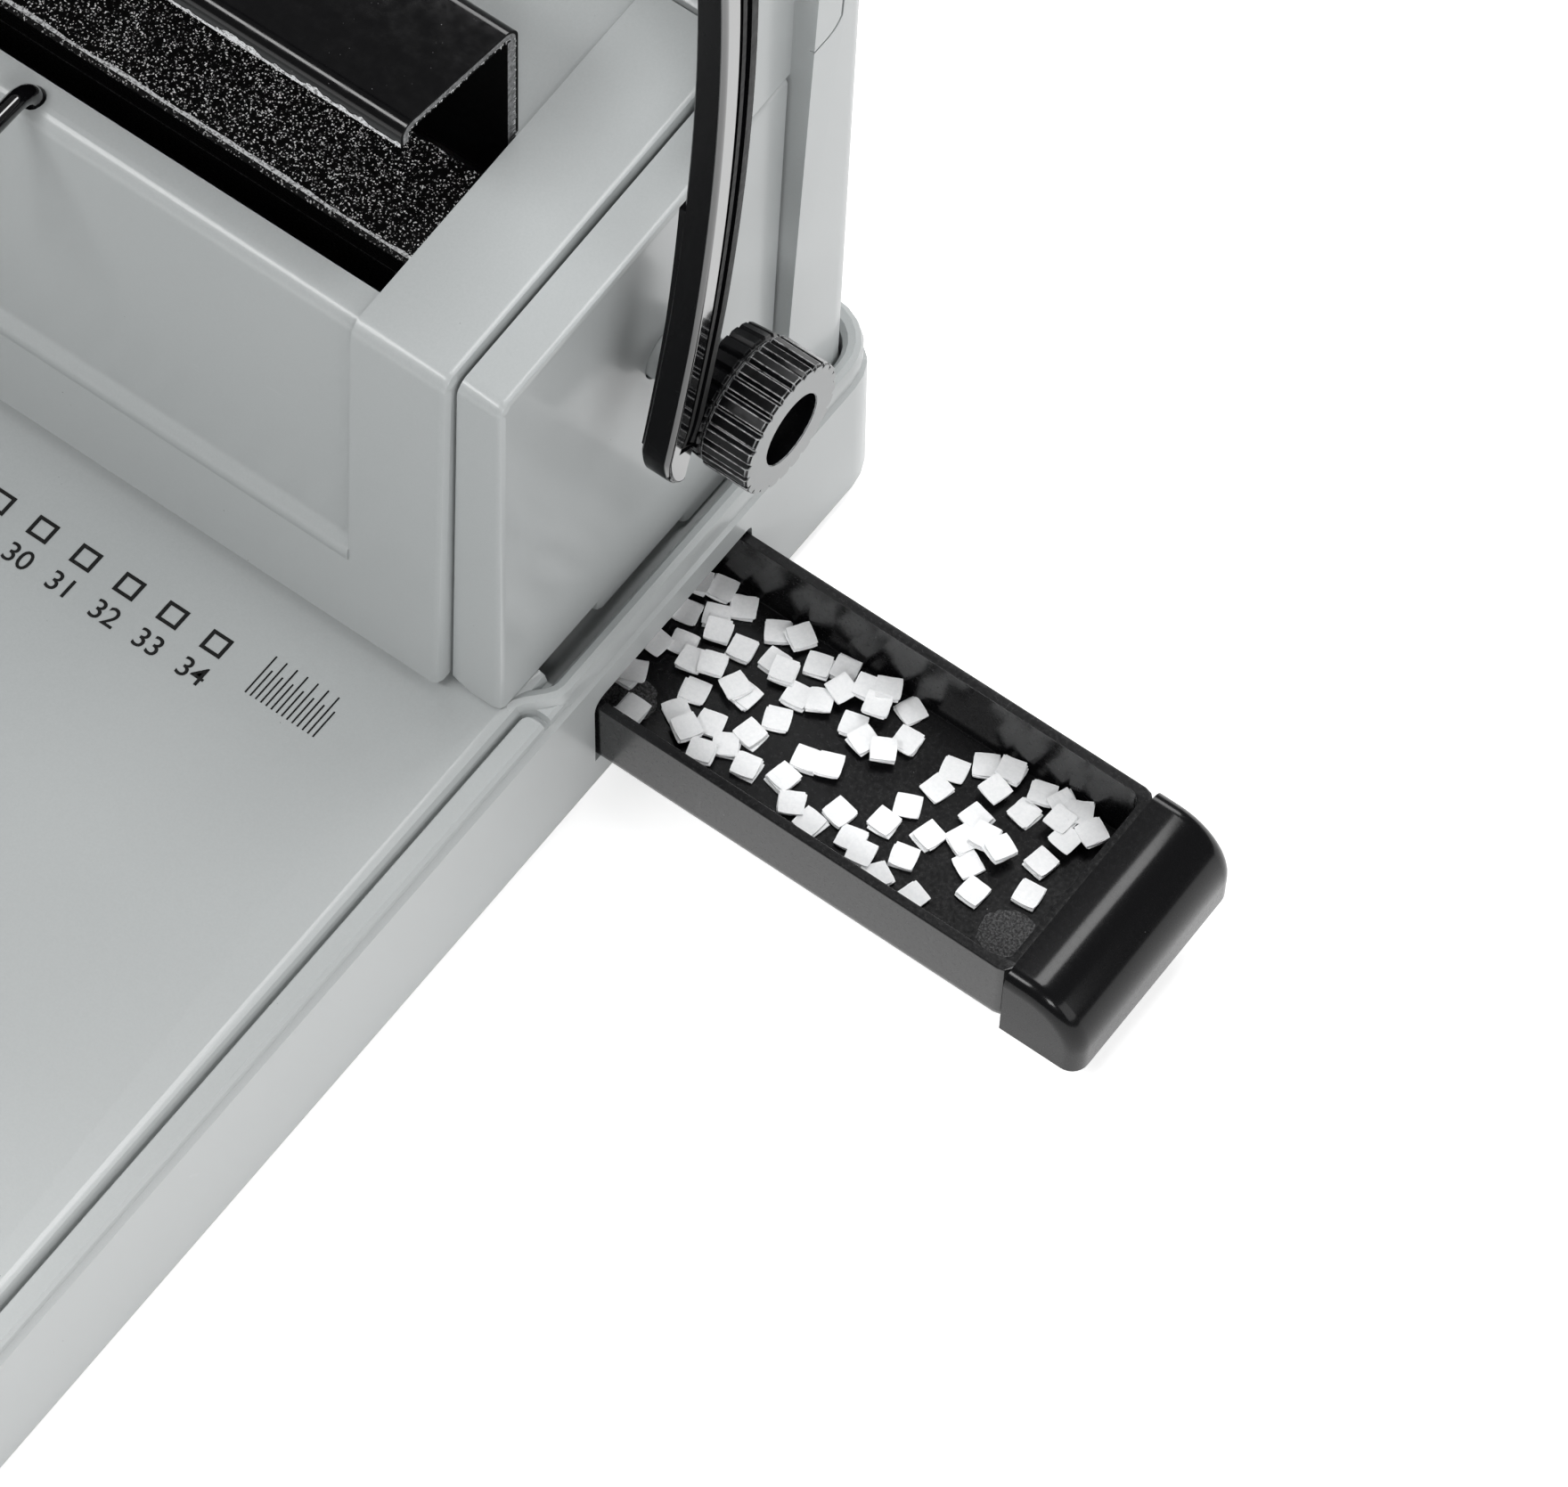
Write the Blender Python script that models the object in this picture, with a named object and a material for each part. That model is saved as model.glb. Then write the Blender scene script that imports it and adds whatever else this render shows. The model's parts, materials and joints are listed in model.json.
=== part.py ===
"""Manual wire binding machine: 34-hole punch, wire closer and chip drawer.

Metres, +Z up. X runs along the punch line, Y points to the back of the machine.
Heights are measured from the table; the feet stand on z = 0. Widths are worked out
from the punch row outward, depths from the housing's front backward, and heights from
the tray upward. All pieces are children of one empty, which centres the whole object.
"""
import math

import bmesh
import bpy
from mathutils import Matrix, Vector

# Fits and tolerances
GAP = 0.0003
OVERRUN = 0.001
RUNNING = 0.0003
SMALL_R = 0.0004

# Punching pattern: 3:1 pitch, square holes, A4 long edge
INCH = 0.0254
HOLE_COUNT = 34
HOLE_PITCH = INCH / 3
HOLE_SIDE = 0.004
PUNCH_ROW_HALF = (HOLE_COUNT - 1) * HOLE_PITCH / 2
STROKE_ANGLE = math.radians(80.0)

# Punch and dies
TRAY_Z = 0.036
SLOT_H = 0.002
PUNCH_STROKE = 0.008
CAM_RISE = PUNCH_STROKE / STROKE_ANGLE
CAM_BASE = 0.0090
CAM_BLEND = math.radians(28.0)
CAM_RETURN = math.radians(110.0)
CAM_T = 0.006
CAM_MARGIN = 0.0103
CAM_X = PUNCH_ROW_HALF + CAM_MARGIN
DIE_FRONT = 0.011
DIE_BACK = 0.0115
DIE_T = 0.006
GUIDE_H = 0.013
GUIDE_FRONT = 0.0075
GUIDE_BACK = 0.0070
GUIDE_FOOT_MARGIN = 0.0058
GUIDE_FOOT_X = PUNCH_ROW_HALF + GUIDE_FOOT_MARGIN
STOP_SETBACK = 0.0046
PIN_SLIP = 0.00015
PUNCH_BAR_MARGIN = 0.0004
PUNCH_BAR_HALF = CAM_X + CAM_T + PUNCH_BAR_MARGIN
PUNCH_BAR_H = 0.008
PUNCH_BAR_FRONT = 0.0090
PUNCH_BAR_BACK = 0.0095
DIE_MARGIN = 0.0016
DIE_HALF = PUNCH_BAR_HALF + DIE_MARGIN
PIN_STRIP_H = 0.005
PIN_SIDE = 0.0037
STRIP_END_SHARE = 0.6
PIN_LIFT = 0.0008
POST_MARGIN = 0.0073
POST_X = PUNCH_ROW_HALF + POST_MARGIN
POST_R = 0.0022
POST_HEAD_R = 0.0034
POST_OVER = 0.0035
SPRING_SPACE = 0.0168
SPRING_WIRE_R = 0.0005
SPRING_R = 0.0040
SPRING_TURNS = 5

# Main shaft, above the spring space and the punch bar
HOUSING_FRONT_Y = 0.04105
AXIS_SET = 0.04475
AXIS_Y = HOUSING_FRONT_Y + AXIS_SET
AXIS_Z = TRAY_Z + SLOT_H + GAP + GUIDE_H + SPRING_SPACE + PUNCH_BAR_H + GAP + CAM_BASE
PUNCH_Y = AXIS_Y - CAM_RISE
SHAFT_R = 0.0045

# Wire closer
PRESS_STROKE = 0.012
PRESS_RISE = PRESS_STROKE / STROKE_ANGLE
PRESS_CAM_MARGIN = 0.0008
PRESS_CAM_X = PUNCH_BAR_HALF + PRESS_CAM_MARGIN
PRESS_CAM_T = 0.0045
PRESS_CAM_BASE = 0.0075
BED_T = 0.002
BED_TOP_DROP = 0.0083
BED_FLANGE = 0.012
BED_TAB = 0.010
BED_SIDE_SLIP = 0.0002
CLOSER_RISE = 0.0326
HOUSING_TOP_Z = AXIS_Z + CLOSER_RISE + GAP
PRESS_T = 0.0022
PRESS_LIP = 0.0045
PRESS_OVER = 0.0287
PRESS_TOP_Z = HOUSING_TOP_Z + PRESS_OVER
PRESS_BACK_H = 0.039
PRESS_BEND_R = 0.0027
PRESS_BACK_SET = 0.0020
PRESS_BACK_Y = AXIS_Y - PRESS_BACK_SET
BRACKET_T = 0.0026
BRACKET_LAP = 0.016
BRACKET_LAP_H = 0.008
BRACKET_SEAT = 0.0005
BRACKET_FOOT = 0.030
LEG_CLEARANCE = 0.0056
LEG_Y = AXIS_Y + PRESS_CAM_BASE + LEG_CLEARANCE

# Side plates, bushes, tie beam
PLATE_X = PRESS_CAM_X + PRESS_CAM_T + BED_SIDE_SLIP + BED_T + GAP
FRAME_PLATE_T = 0.003
FRAME_FRONT_SET = 0.01345
FRAME_FRONT_Y = HOUSING_FRONT_Y + FRAME_FRONT_SET
FRAME_BACK_MARGIN = 0.0060
FRAME_BACK_Y = LEG_Y + BRACKET_T + FRAME_BACK_MARGIN
FRAME_TOP_DROP = 0.0098
FRAME_TOP_Z = HOUSING_TOP_Z - FRAME_TOP_DROP
FRAME_CORNER = 0.012
BUSH_R = 0.0085
BUSH_FLANGE_R = 0.0105
BUSH_FLANGE_T = 0.0014
BEAM_R = 0.005
BEAM_CLEARANCE = 0.002
BEAM_Y = LEG_Y + BRACKET_T - SPRING_WIRE_R
BEAM_Z = (AXIS_Z - PRESS_CAM_BASE - GAP - BRACKET_T - PRESS_STROKE - BEAM_R
          - BEAM_CLEARANCE)

# Main housing, between the two side cheeks
HOUSING_SIDE = 0.0029
HOUSING_HALF = PLATE_X + FRAME_PLATE_T + GAP + BUSH_FLANGE_T + HOUSING_SIDE
FRONT_LEAN = 0.0370
TOP_RISE = 0.0611
HOUSING_EDGE_R = 0.0032
BACK_GAP = 0.0004
HOUSING_END_R = 0.0014
DECK_DROP = 0.0006
SEAM_W = 0.0005
SEAM_DEPTH = 0.0010
HOUSING_WALL = 0.0025
PRESS_END_SET = 0.0105
PRESS_HALF = PLATE_X - PRESS_END_SET
WELL_SLIP = 0.0006
WELL_HALF = PRESS_HALF + WELL_SLIP
WELL_FRONT_SET = 0.01065
WELL_FRONT_Y = HOUSING_FRONT_Y + WELL_FRONT_SET
WELL_BACK_Y = PRESS_BACK_Y + WELL_SLIP
PANEL_MARGIN = 0.0002
PANEL_HALF = WELL_HALF + PANEL_MARGIN
PANEL_INSET = 0.0012
PANEL_RISE = 0.0245
PANEL_LOW_Z = TRAY_Z + PANEL_RISE
PANEL_BEVEL = 0.0024
BED_FRONT_SET = 0.0104
BED_FRONT_Y = WELL_FRONT_Y + BED_FRONT_SET
BED_BACK_Y = PRESS_BACK_Y - PRESS_T - WELL_SLIP
PRESS_FRONT_OVER = 0.0024
PRESS_FRONT_Y = BED_FRONT_Y - PRESS_FRONT_OVER
SCOOP_HALF = 0.008
SCOOP_R = 0.010

# Side cheeks
CHEEK_GAP = 0.0006
CHEEK_WIDTH = 0.0098
CHEEK_FOOT_X = HOUSING_HALF + CHEEK_WIDTH
CHEEK_DRAFT = 0.0163
CHEEK_FRONT_SET = 0.0029
CHEEK_LEAN = 0.0240
CHEEK_TOP_DROP = 0.0016
CHEEK_EDGE_R = 0.0026
CHEEK_WALL = 0.0024
CHEEK_STEP_RUNS = (0.02735, 0.04965)
CHEEK_STEP_DROP = 0.0031
CHEEK_LIFT = 0.0004
CHEEK_TOE_RISE = 0.0020
CHEEK_TOE_RUN = 0.0033

# Rear cover
REAR_MARGIN = 0.0024
REAR_HALF = CHEEK_FOOT_X + REAR_MARGIN
REAR_FRONT_MARGIN = 0.0052
REAR_FRONT_Y = FRAME_BACK_Y + REAR_FRONT_MARGIN
REAR_LEAN = 0.0395
REAR_DEPTH = 0.0198
REAR_BACK_Y = REAR_FRONT_Y + REAR_DEPTH
HOOD_RISE = 0.0417
REAR_TOP_Z = HOUSING_TOP_Z + HOOD_RISE
REAR_EDGE_R = 0.0055
REAR_CORNER_R = 0.0065
REAR_WALL = 0.0024
REAR_BOTTOM_DROP = 0.0052
REAR_DRAFT = 0.0012
HOOD_SET = 0.0077
HOOD_FRONT_Y = REAR_FRONT_Y + HOOD_SET
HOOD_SWEEP_R = 0.009
HOOD_LEAN = 0.06
EAR_MARGIN = 0.0027
EAR_IN_X = HOUSING_HALF + EAR_MARGIN
EAR_REACH = 0.0079
EAR_FRONT_Y = REAR_FRONT_Y - EAR_REACH
EAR_SWEEP_R = 0.003
EAR_TOP_R = 0.010
EAR_SEAT = 0.0006
COVER_SEAM_RISE = 0.0117
COVER_SEAM_Z = HOUSING_TOP_Z + COVER_SEAM_RISE
COVER_SEAM_SET = 0.0113
COVER_SEAM_Y = REAR_FRONT_Y + COVER_SEAM_SET
COVER_SEAM_R = 0.004
COVER_SEAM_W = 0.0005
COVER_SEAM_DEPTH = 0.0008

# Base shell
BASE_MARGIN = 0.005
BASE_HALF_WIDTH = REAR_HALF + BASE_MARGIN
BASE_DEPTH = 0.275
BASE_CORNER_R = 0.011
BASE_EDGE_Z = 0.0025
BASE_WALL = 0.0025
RIM_STEP_DROP = 0.005
LEDGE_DROP = 0.002
GROOVE_DROP = 0.004
TRAY_LIP_INSET = 0.0058
TRAY_PLATE = 0.0026
LIP_ROUND = 0.0018
LEDGE_INNER_INSET = 0.005
GROOVE_WIDTH = 0.0016
GROOVE_TURN_R = 0.0022
WALL_DRAFT = 0.0006
RIM_STEP_IN = 0.0009
LEDGE_ROUND = 0.0006

# Valley and ridge round the foot of the housing
VALLEY_DROP = 0.0075
VALLEY_LAP = 0.0008
VALLEY_INNER_X = HOUSING_HALF - VALLEY_LAP
RIDGE_INSET = 0.0026
RIDGE_RISE = 0.0002
RIDGE_INNER_HALF = 0.0020
RIDGE_OUTER_HALF = 0.0013
RIDGE_SHOULDER = 0.0009
LOOP_SET = 0.00845
LOOP_Y = HOUSING_FRONT_Y + LOOP_SET
LOOP_RUN = 0.0041

# Bottom plate and feet
PLATE_T = 0.0012
PLATE_SEAT = 0.0005
FOOT_R = 0.009
FOOT_INSET = 0.022

# Handle: two arms, a cross tube and a grip
HUB_CLEARANCE = 0.0030
HUB_IN_X = CHEEK_FOOT_X + HUB_CLEARANCE
HUB_LEN = 0.0054
HUB_OUT_X = HUB_IN_X + HUB_LEN
HUB_R = 0.0107
HUB_TO_ARM = 0.0005
ARM_IN_X = HUB_OUT_X + HUB_TO_ARM
ARM_T = 0.0045
ARM_HALF_W = 0.0036
ARM_BEND_R = 0.396
ARM_CREST_RISE = 0.0930
ARM_CREST_Z = AXIS_Z + ARM_CREST_RISE
ARM_FOOT_DROP = 0.0015
ARM_FOOT_Z = AXIS_Z - ARM_FOOT_DROP
ARM_LEN = 0.1646
ARM_TOP_Z = AXIS_Z + ARM_LEN
ARM_SEGMENTS = 22
ARM_POCKET = 0.0013
ARM_RIM = 0.0013
ROOT_T = 0.0014
ROOT_RISE = 0.0536
TUBE_R = 0.0050
GRIP_R = 0.0105
GRIP_SHARE = 0.86
GRIP_SIDES = 28

# Adjusting knob on the shaft's right end
KNOB_COLLAR_X = HUB_OUT_X + GAP
KNOB_HEAD_X = ARM_IN_X + ARM_T + GAP
KNOB_HEAD_LEN = 0.0087
KNOB_END_X = KNOB_HEAD_X + KNOB_HEAD_LEN
KNOB_COLLAR_R = 0.0109
KNOB_R = 0.0113
KNOB_RIBS = 24
KNOB_RIB_H = 0.0008
KNOB_RIB_SHARES = (0.0, 0.22, 0.78)
KNOB_BORE_R = 0.0063
KNOB_BORE_DEPTH = 0.0052
SHAFT_END_X = KNOB_END_X - KNOB_BORE_DEPTH - GAP
ARM_COLLAR_CLEARANCE = 0.0008
ARM_ROOT_Y = AXIS_Y - KNOB_COLLAR_R - ARM_HALF_W - ARM_COLLAR_CLEARANCE
CAP_R = 0.0085
CAP_T = 0.0040

# Chip drawer
DRAWER_FRONT_REACH = 0.0209
DRAWER_BACK_REACH = 0.0187
DRAWER_Y0 = PUNCH_Y - DRAWER_FRONT_REACH
DRAWER_Y1 = PUNCH_Y + DRAWER_BACK_REACH
DRAWER_LIFT = 0.0052
DRAWER_TOP_SET = 0.0020
DRAWER_Z0 = BASE_EDGE_Z + PLATE_SEAT + PLATE_T + DRAWER_LIFT
DRAWER_Z1 = TRAY_Z - VALLEY_DROP - BASE_WALL - DRAWER_TOP_SET
DRAWER_WALL = 0.0018
DRAWER_FLOOR_IN = 0.0004
DRAWER_ROOT_IN = 0.0008
DRAWER_DRAFT_IN = 0.0002
DRAWER_LEN = 0.336
DRAWER_OUT = 0.0775
DRAWER_END_X = BASE_HALF_WIDTH + DRAWER_OUT
DRAWER_CORNER_R = 0.0025
DRAWER_SLIP = 0.0006
DRAWER_CAP_LEN = 0.0205
DRAWER_CAP_PROUD = 0.0011
DRAWER_CAP_RISE = 0.0016
DRAWER_CAP_ROUND = 0.0115
DRAWER_CAP_LOW_R = 0.003
DRAWER_CAP_CORNER = 0.0065
DRAWER_CAP_LAP = 0.0022
RAIL_T = 0.0016
RAIL_FOOT = 0.010
RAIL_END_SET = 0.0190
OPENING_R = 0.0025

# Wire hooks on the housing's top strip
HOOK_X = 0.0925
HOOK_R = 0.0017
HOOK_BEND = 0.0055
HOOK_REACH = 0.0165
HOOK_DEPTH = 0.014
HOOK_SETBACK = 0.0035
HOOK_TIP = 0.0045

# Paper edge guide at the tray's left
FENCE_MARGIN = 0.0103
GUIDE_FENCE_X = PUNCH_ROW_HALF + FENCE_MARGIN
FENCE_T = 0.0025
FENCE_H = 0.0085
FENCE_LEN = 0.034
FENCE_BASE = 0.018
FENCE_BASE_T = 0.0022
FENCE_BACK_SET = 0.00505
FENCE_TRAVEL = 0.003
LOCK_R = 0.0065
LOCK_H = 0.0075
LOCK_FLUTE_SHARE = 0.06
PEG_R = 0.0022

MATERIAL_TABLE = {
    "grey_housing": ((0.50, 0.52, 0.52), 0.42, 0.0),
    "black_gloss": ((0.010, 0.010, 0.011), 0.22, 0.0),
    "black_matt": ((0.018, 0.018, 0.019), 0.48, 0.0),
    "black_steel": ((0.012, 0.012, 0.013), 0.28, 0.4),
    "rough_black": ((0.016, 0.016, 0.018), 0.62, 0.2),
    "steel": ((0.55, 0.56, 0.57), 0.32, 1.0),
    "zinc": ((0.60, 0.61, 0.60), 0.45, 1.0),
    "bronze": ((0.55, 0.38, 0.20), 0.40, 1.0),
    "rubber": ((0.020, 0.020, 0.021), 0.75, 0.0),
}


def clear_scene():
    for item in list(bpy.data.objects):
        bpy.data.objects.remove(item)


def make_materials():
    made = {}
    for name, (colour, roughness, metallic) in MATERIAL_TABLE.items():
        material = bpy.data.materials.new(name)
        material.use_nodes = True
        shader = material.node_tree.nodes["Principled BSDF"]
        shader.inputs["Base Color"].default_value = (*colour, 1.0)
        shader.inputs["Roughness"].default_value = roughness
        shader.inputs["Metallic"].default_value = metallic
        made[name] = material
    return made


clear_scene()
MATERIALS = make_materials()
CENTRE_X = (DRAWER_END_X + DRAWER_CAP_LEN - (ARM_IN_X + ARM_T + CAP_T)) / 2
ROOT = bpy.data.objects.new("machine", None)
bpy.context.collection.objects.link(ROOT)
ROOT.location = (-CENTRE_X, 0, 0)


# Shape helpers

def finish(name, mesh_data, material, origin=(0, 0, 0), cutter=False):
    """Turn a bmesh into an object whose origin lies at the given point."""
    bmesh.ops.recalc_face_normals(mesh_data, faces=mesh_data.faces)
    mesh = bpy.data.meshes.new(name)
    bmesh.ops.translate(mesh_data, verts=mesh_data.verts, vec=-Vector(origin))
    mesh_data.to_mesh(mesh)
    mesh_data.free()
    item = bpy.data.objects.new(name, mesh)
    bpy.context.collection.objects.link(item)
    item.parent = ROOT
    item.location = origin
    if cutter:
        item.hide_render = True
        item.display_type = 'WIRE'
    else:
        mesh.materials.append(MATERIALS[material])
        mesh.shade_smooth()
        mesh.set_sharp_from_angle(angle=math.radians(35))
    return item


def cut(item, cutter, operation='DIFFERENCE'):
    modifier = item.modifiers.new(cutter.name, 'BOOLEAN')
    modifier.operation = operation
    modifier.solver = 'EXACT'
    modifier.object = cutter
    cutter.hide_render = True
    cutter.display_type = 'WIRE'
    return item


def join(item, other):
    return cut(item, other, 'UNION')


def loft(rings):
    """Skin closed rings of equal length and cap both ends."""
    mesh_data = bmesh.new()
    rows = [[mesh_data.verts.new(point) for point in ring] for ring in rings]
    count = len(rows[0])
    for low, high in zip(rows, rows[1:]):
        for index in range(count):
            following = (index + 1) % count
            mesh_data.faces.new((low[index], low[following], high[following], high[index]))
    mesh_data.faces.new(list(reversed(rows[0])))
    mesh_data.faces.new(rows[-1])
    return mesh_data


def prism_x(outline, x0, x1):
    """Extrude an outline of (y, z) points along X."""
    return loft([[(x, y, z) for y, z in outline] for x in (x0, x1)])


def prism_y(outline, y0, y1):
    """Extrude an outline of (x, z) points along Y."""
    return loft([[(x, y, z) for x, z in outline] for y in (y0, y1)])


def prism_z(outline, z0, z1):
    """Extrude an outline of (x, y) points along Z."""
    return loft([[(x, y, z) for x, y in outline] for z in (z0, z1)])


def block(x0, x1, y0, y1, z0, z1):
    return prism_z([(x0, y0), (x1, y0), (x1, y1), (x0, y1)], z0, z1)


def arc(centre, radius, start, end, steps):
    """Points on an arc, angles in degrees, both ends included."""
    points = []
    for step in range(steps + 1):
        angle = math.radians(start + (end - start) * step / steps)
        points.append((centre[0] + radius * math.cos(angle), centre[1] + radius * math.sin(angle)))
    return points


def fillet(corners, steps=4):
    """Round an outline given as (u, v, radius) corners."""
    points = []
    count = len(corners)
    for index, (u, v, radius) in enumerate(corners):
        here = Vector((u, v))
        if radius == 0:
            points.append((u, v))
            continue
        before = (Vector(corners[index - 1][:2]) - here).normalized()
        after = (Vector(corners[(index + 1) % count][:2]) - here).normalized()
        half = before.angle(after) / 2
        reach = radius / math.tan(half)
        centre = here + (before + after).normalized() * (radius / math.sin(half))
        first = here + before * reach - centre
        last = here + after * reach - centre
        sweep = first.angle_signed(last)
        for step in range(steps + 1):
            turned = Matrix.Rotation(-sweep * step / steps, 2) @ first
            points.append(tuple(centre + turned))
    return points


def rounded_rectangle(x0, x1, y0, y1, radius, steps=5):
    points = []
    points += arc((x1 - radius, y0 + radius), radius, -90, 0, steps)
    points += arc((x1 - radius, y1 - radius), radius, 0, 90, steps)
    points += arc((x0 + radius, y1 - radius), radius, 90, 180, steps)
    points += arc((x0 + radius, y0 + radius), radius, 180, 270, steps)
    return points


def rectangle_stack(x0, x1, y0, y1, radius, levels, steps=5):
    """Loft rounded rectangles; each level is (inset, z)."""
    rings = []
    for inset, z in levels:
        corner = radius - inset
        ring = rounded_rectangle(x0 + inset, x1 - inset, y0 + inset, y1 - inset, corner, steps)
        rings.append([(x, y, z) for x, y in ring])
    return loft(rings)


def circle(u, v, radius, sides):
    return [(u + radius * math.cos(math.tau * index / sides),
             v + radius * math.sin(math.tau * index / sides)) for index in range(sides)]


def cylinder_x(x0, x1, y, z, radius, sides=32):
    return prism_x(circle(y, z, radius, sides), x0, x1)


def cylinder_z(x, y, z0, z1, radius, sides=24):
    return prism_z(circle(x, y, radius, sides), z0, z1)


def turned_x(profile, y, z, sides=32):
    """Turn a profile of (x, radius) points about an axis along X."""
    rings = []
    for x, radius in profile:
        rings.append([(x, cy, cz) for cy, cz in circle(y, z, radius, sides)])
    return loft(rings)


def turned_z(profile, x, y, sides=24):
    """Turn a profile of (z, radius) points about a vertical axis."""
    rings = []
    for z, radius in profile:
        rings.append([(cx, cy, z) for cx, cy in circle(x, y, radius, sides)])
    return loft(rings)


def swept(path, profile):
    """Carry a profile of (offset to the left, z) points along a path of (x, y) points."""
    rings = []
    for index, point in enumerate(path):
        here = Vector(point)
        before = Vector(path[max(index - 1, 0)])
        after = Vector(path[min(index + 1, len(path) - 1)])
        along = (after - before).normalized()
        left = Vector((-along.y, along.x))
        stretch = 1.0
        if 0 < index < len(path) - 1:
            bend = (here - before).normalized().dot(along)
            stretch = 1.0 / max(bend, 0.5)
        rings.append([(here.x + left.x * offset * stretch, here.y + left.y * offset * stretch, z)
                      for offset, z in profile])
    return loft(rings)


def tube(path, radius, sides=12):
    """A round bar along a path of 3-D points, its sections turned without twist."""
    rings = []
    normal = None
    for index, point in enumerate(path):
        here = Vector(point)
        before = Vector(path[max(index - 1, 0)])
        after = Vector(path[min(index + 1, len(path) - 1)])
        along = (after - before).normalized()
        if normal is None:
            normal = along.orthogonal().normalized()
        normal = (normal - along * normal.dot(along)).normalized()
        side = along.cross(normal)
        ring = []
        for step in range(sides):
            angle = math.tau * step / sides
            ring.append(tuple(here + (normal * math.cos(angle) + side * math.sin(angle)) * radius))
        rings.append(ring)
    return loft(rings)


def mirrored(mesh_data, side):
    """Reflect a right-hand shape to the left when side is -1."""
    if side < 0:
        bmesh.ops.scale(mesh_data, vec=(-1, 1, 1), verts=mesh_data.verts)
        bmesh.ops.reverse_faces(mesh_data, faces=mesh_data.faces)
    return mesh_data


SIDES = (("right", 1), ("left", -1))


# Base shell

def base_back_y():
    return REAR_BACK_Y + BASE_MARGIN


def base_front_y():
    return base_back_y() - BASE_DEPTH


def base_stack(levels):
    return rectangle_stack(-BASE_HALF_WIDTH, BASE_HALF_WIDTH, base_front_y(), base_back_y(),
                           BASE_CORNER_R, levels, 6)


def rim_path(inset, start_y):
    """Open path round the tray, turning outward round the rim strip's two ends."""
    half = BASE_HALF_WIDTH - inset
    radius = BASE_CORNER_R - inset
    front = base_front_y() + inset
    turn = GROOVE_TURN_R
    path = [(BASE_HALF_WIDTH + OVERRUN, start_y)]
    path += arc((half + turn, start_y - turn), turn, 90, 180, 4)
    path += arc((half - radius, front + radius), radius, 0, -90, 6)
    path += arc((-half + radius, front + radius), radius, -90, -180, 6)
    path += arc((-half - turn, start_y - turn), turn, 0, 90, 4)
    path.append((-BASE_HALF_WIDTH - OVERRUN, start_y))
    return path


def ridge_path():
    """Open path of the ridge: loop, right side, back, left side, loop."""
    half = BASE_HALF_WIDTH - RIDGE_INSET
    radius = BASE_CORNER_R - RIDGE_INSET
    back = base_back_y() - RIDGE_INSET
    lip = BASE_HALF_WIDTH - TRAY_LIP_INSET - LIP_ROUND
    right = []
    for step in range(7):
        share = step / 6
        ease = (1 - math.cos(math.pi * share)) / 2
        right.append((lip + (half - lip) * ease, LOOP_Y - LOOP_RUN + 2 * LOOP_RUN * share))
    corner = arc((half - radius, back - radius), radius, 0, 90, 6)
    path = right + corner
    path += [(-x, y) for x, y in reversed(path)]
    return path


def plateau_back_y():
    return back_y(TRAY_Z - VALLEY_DROP) - BACK_GAP


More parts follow.
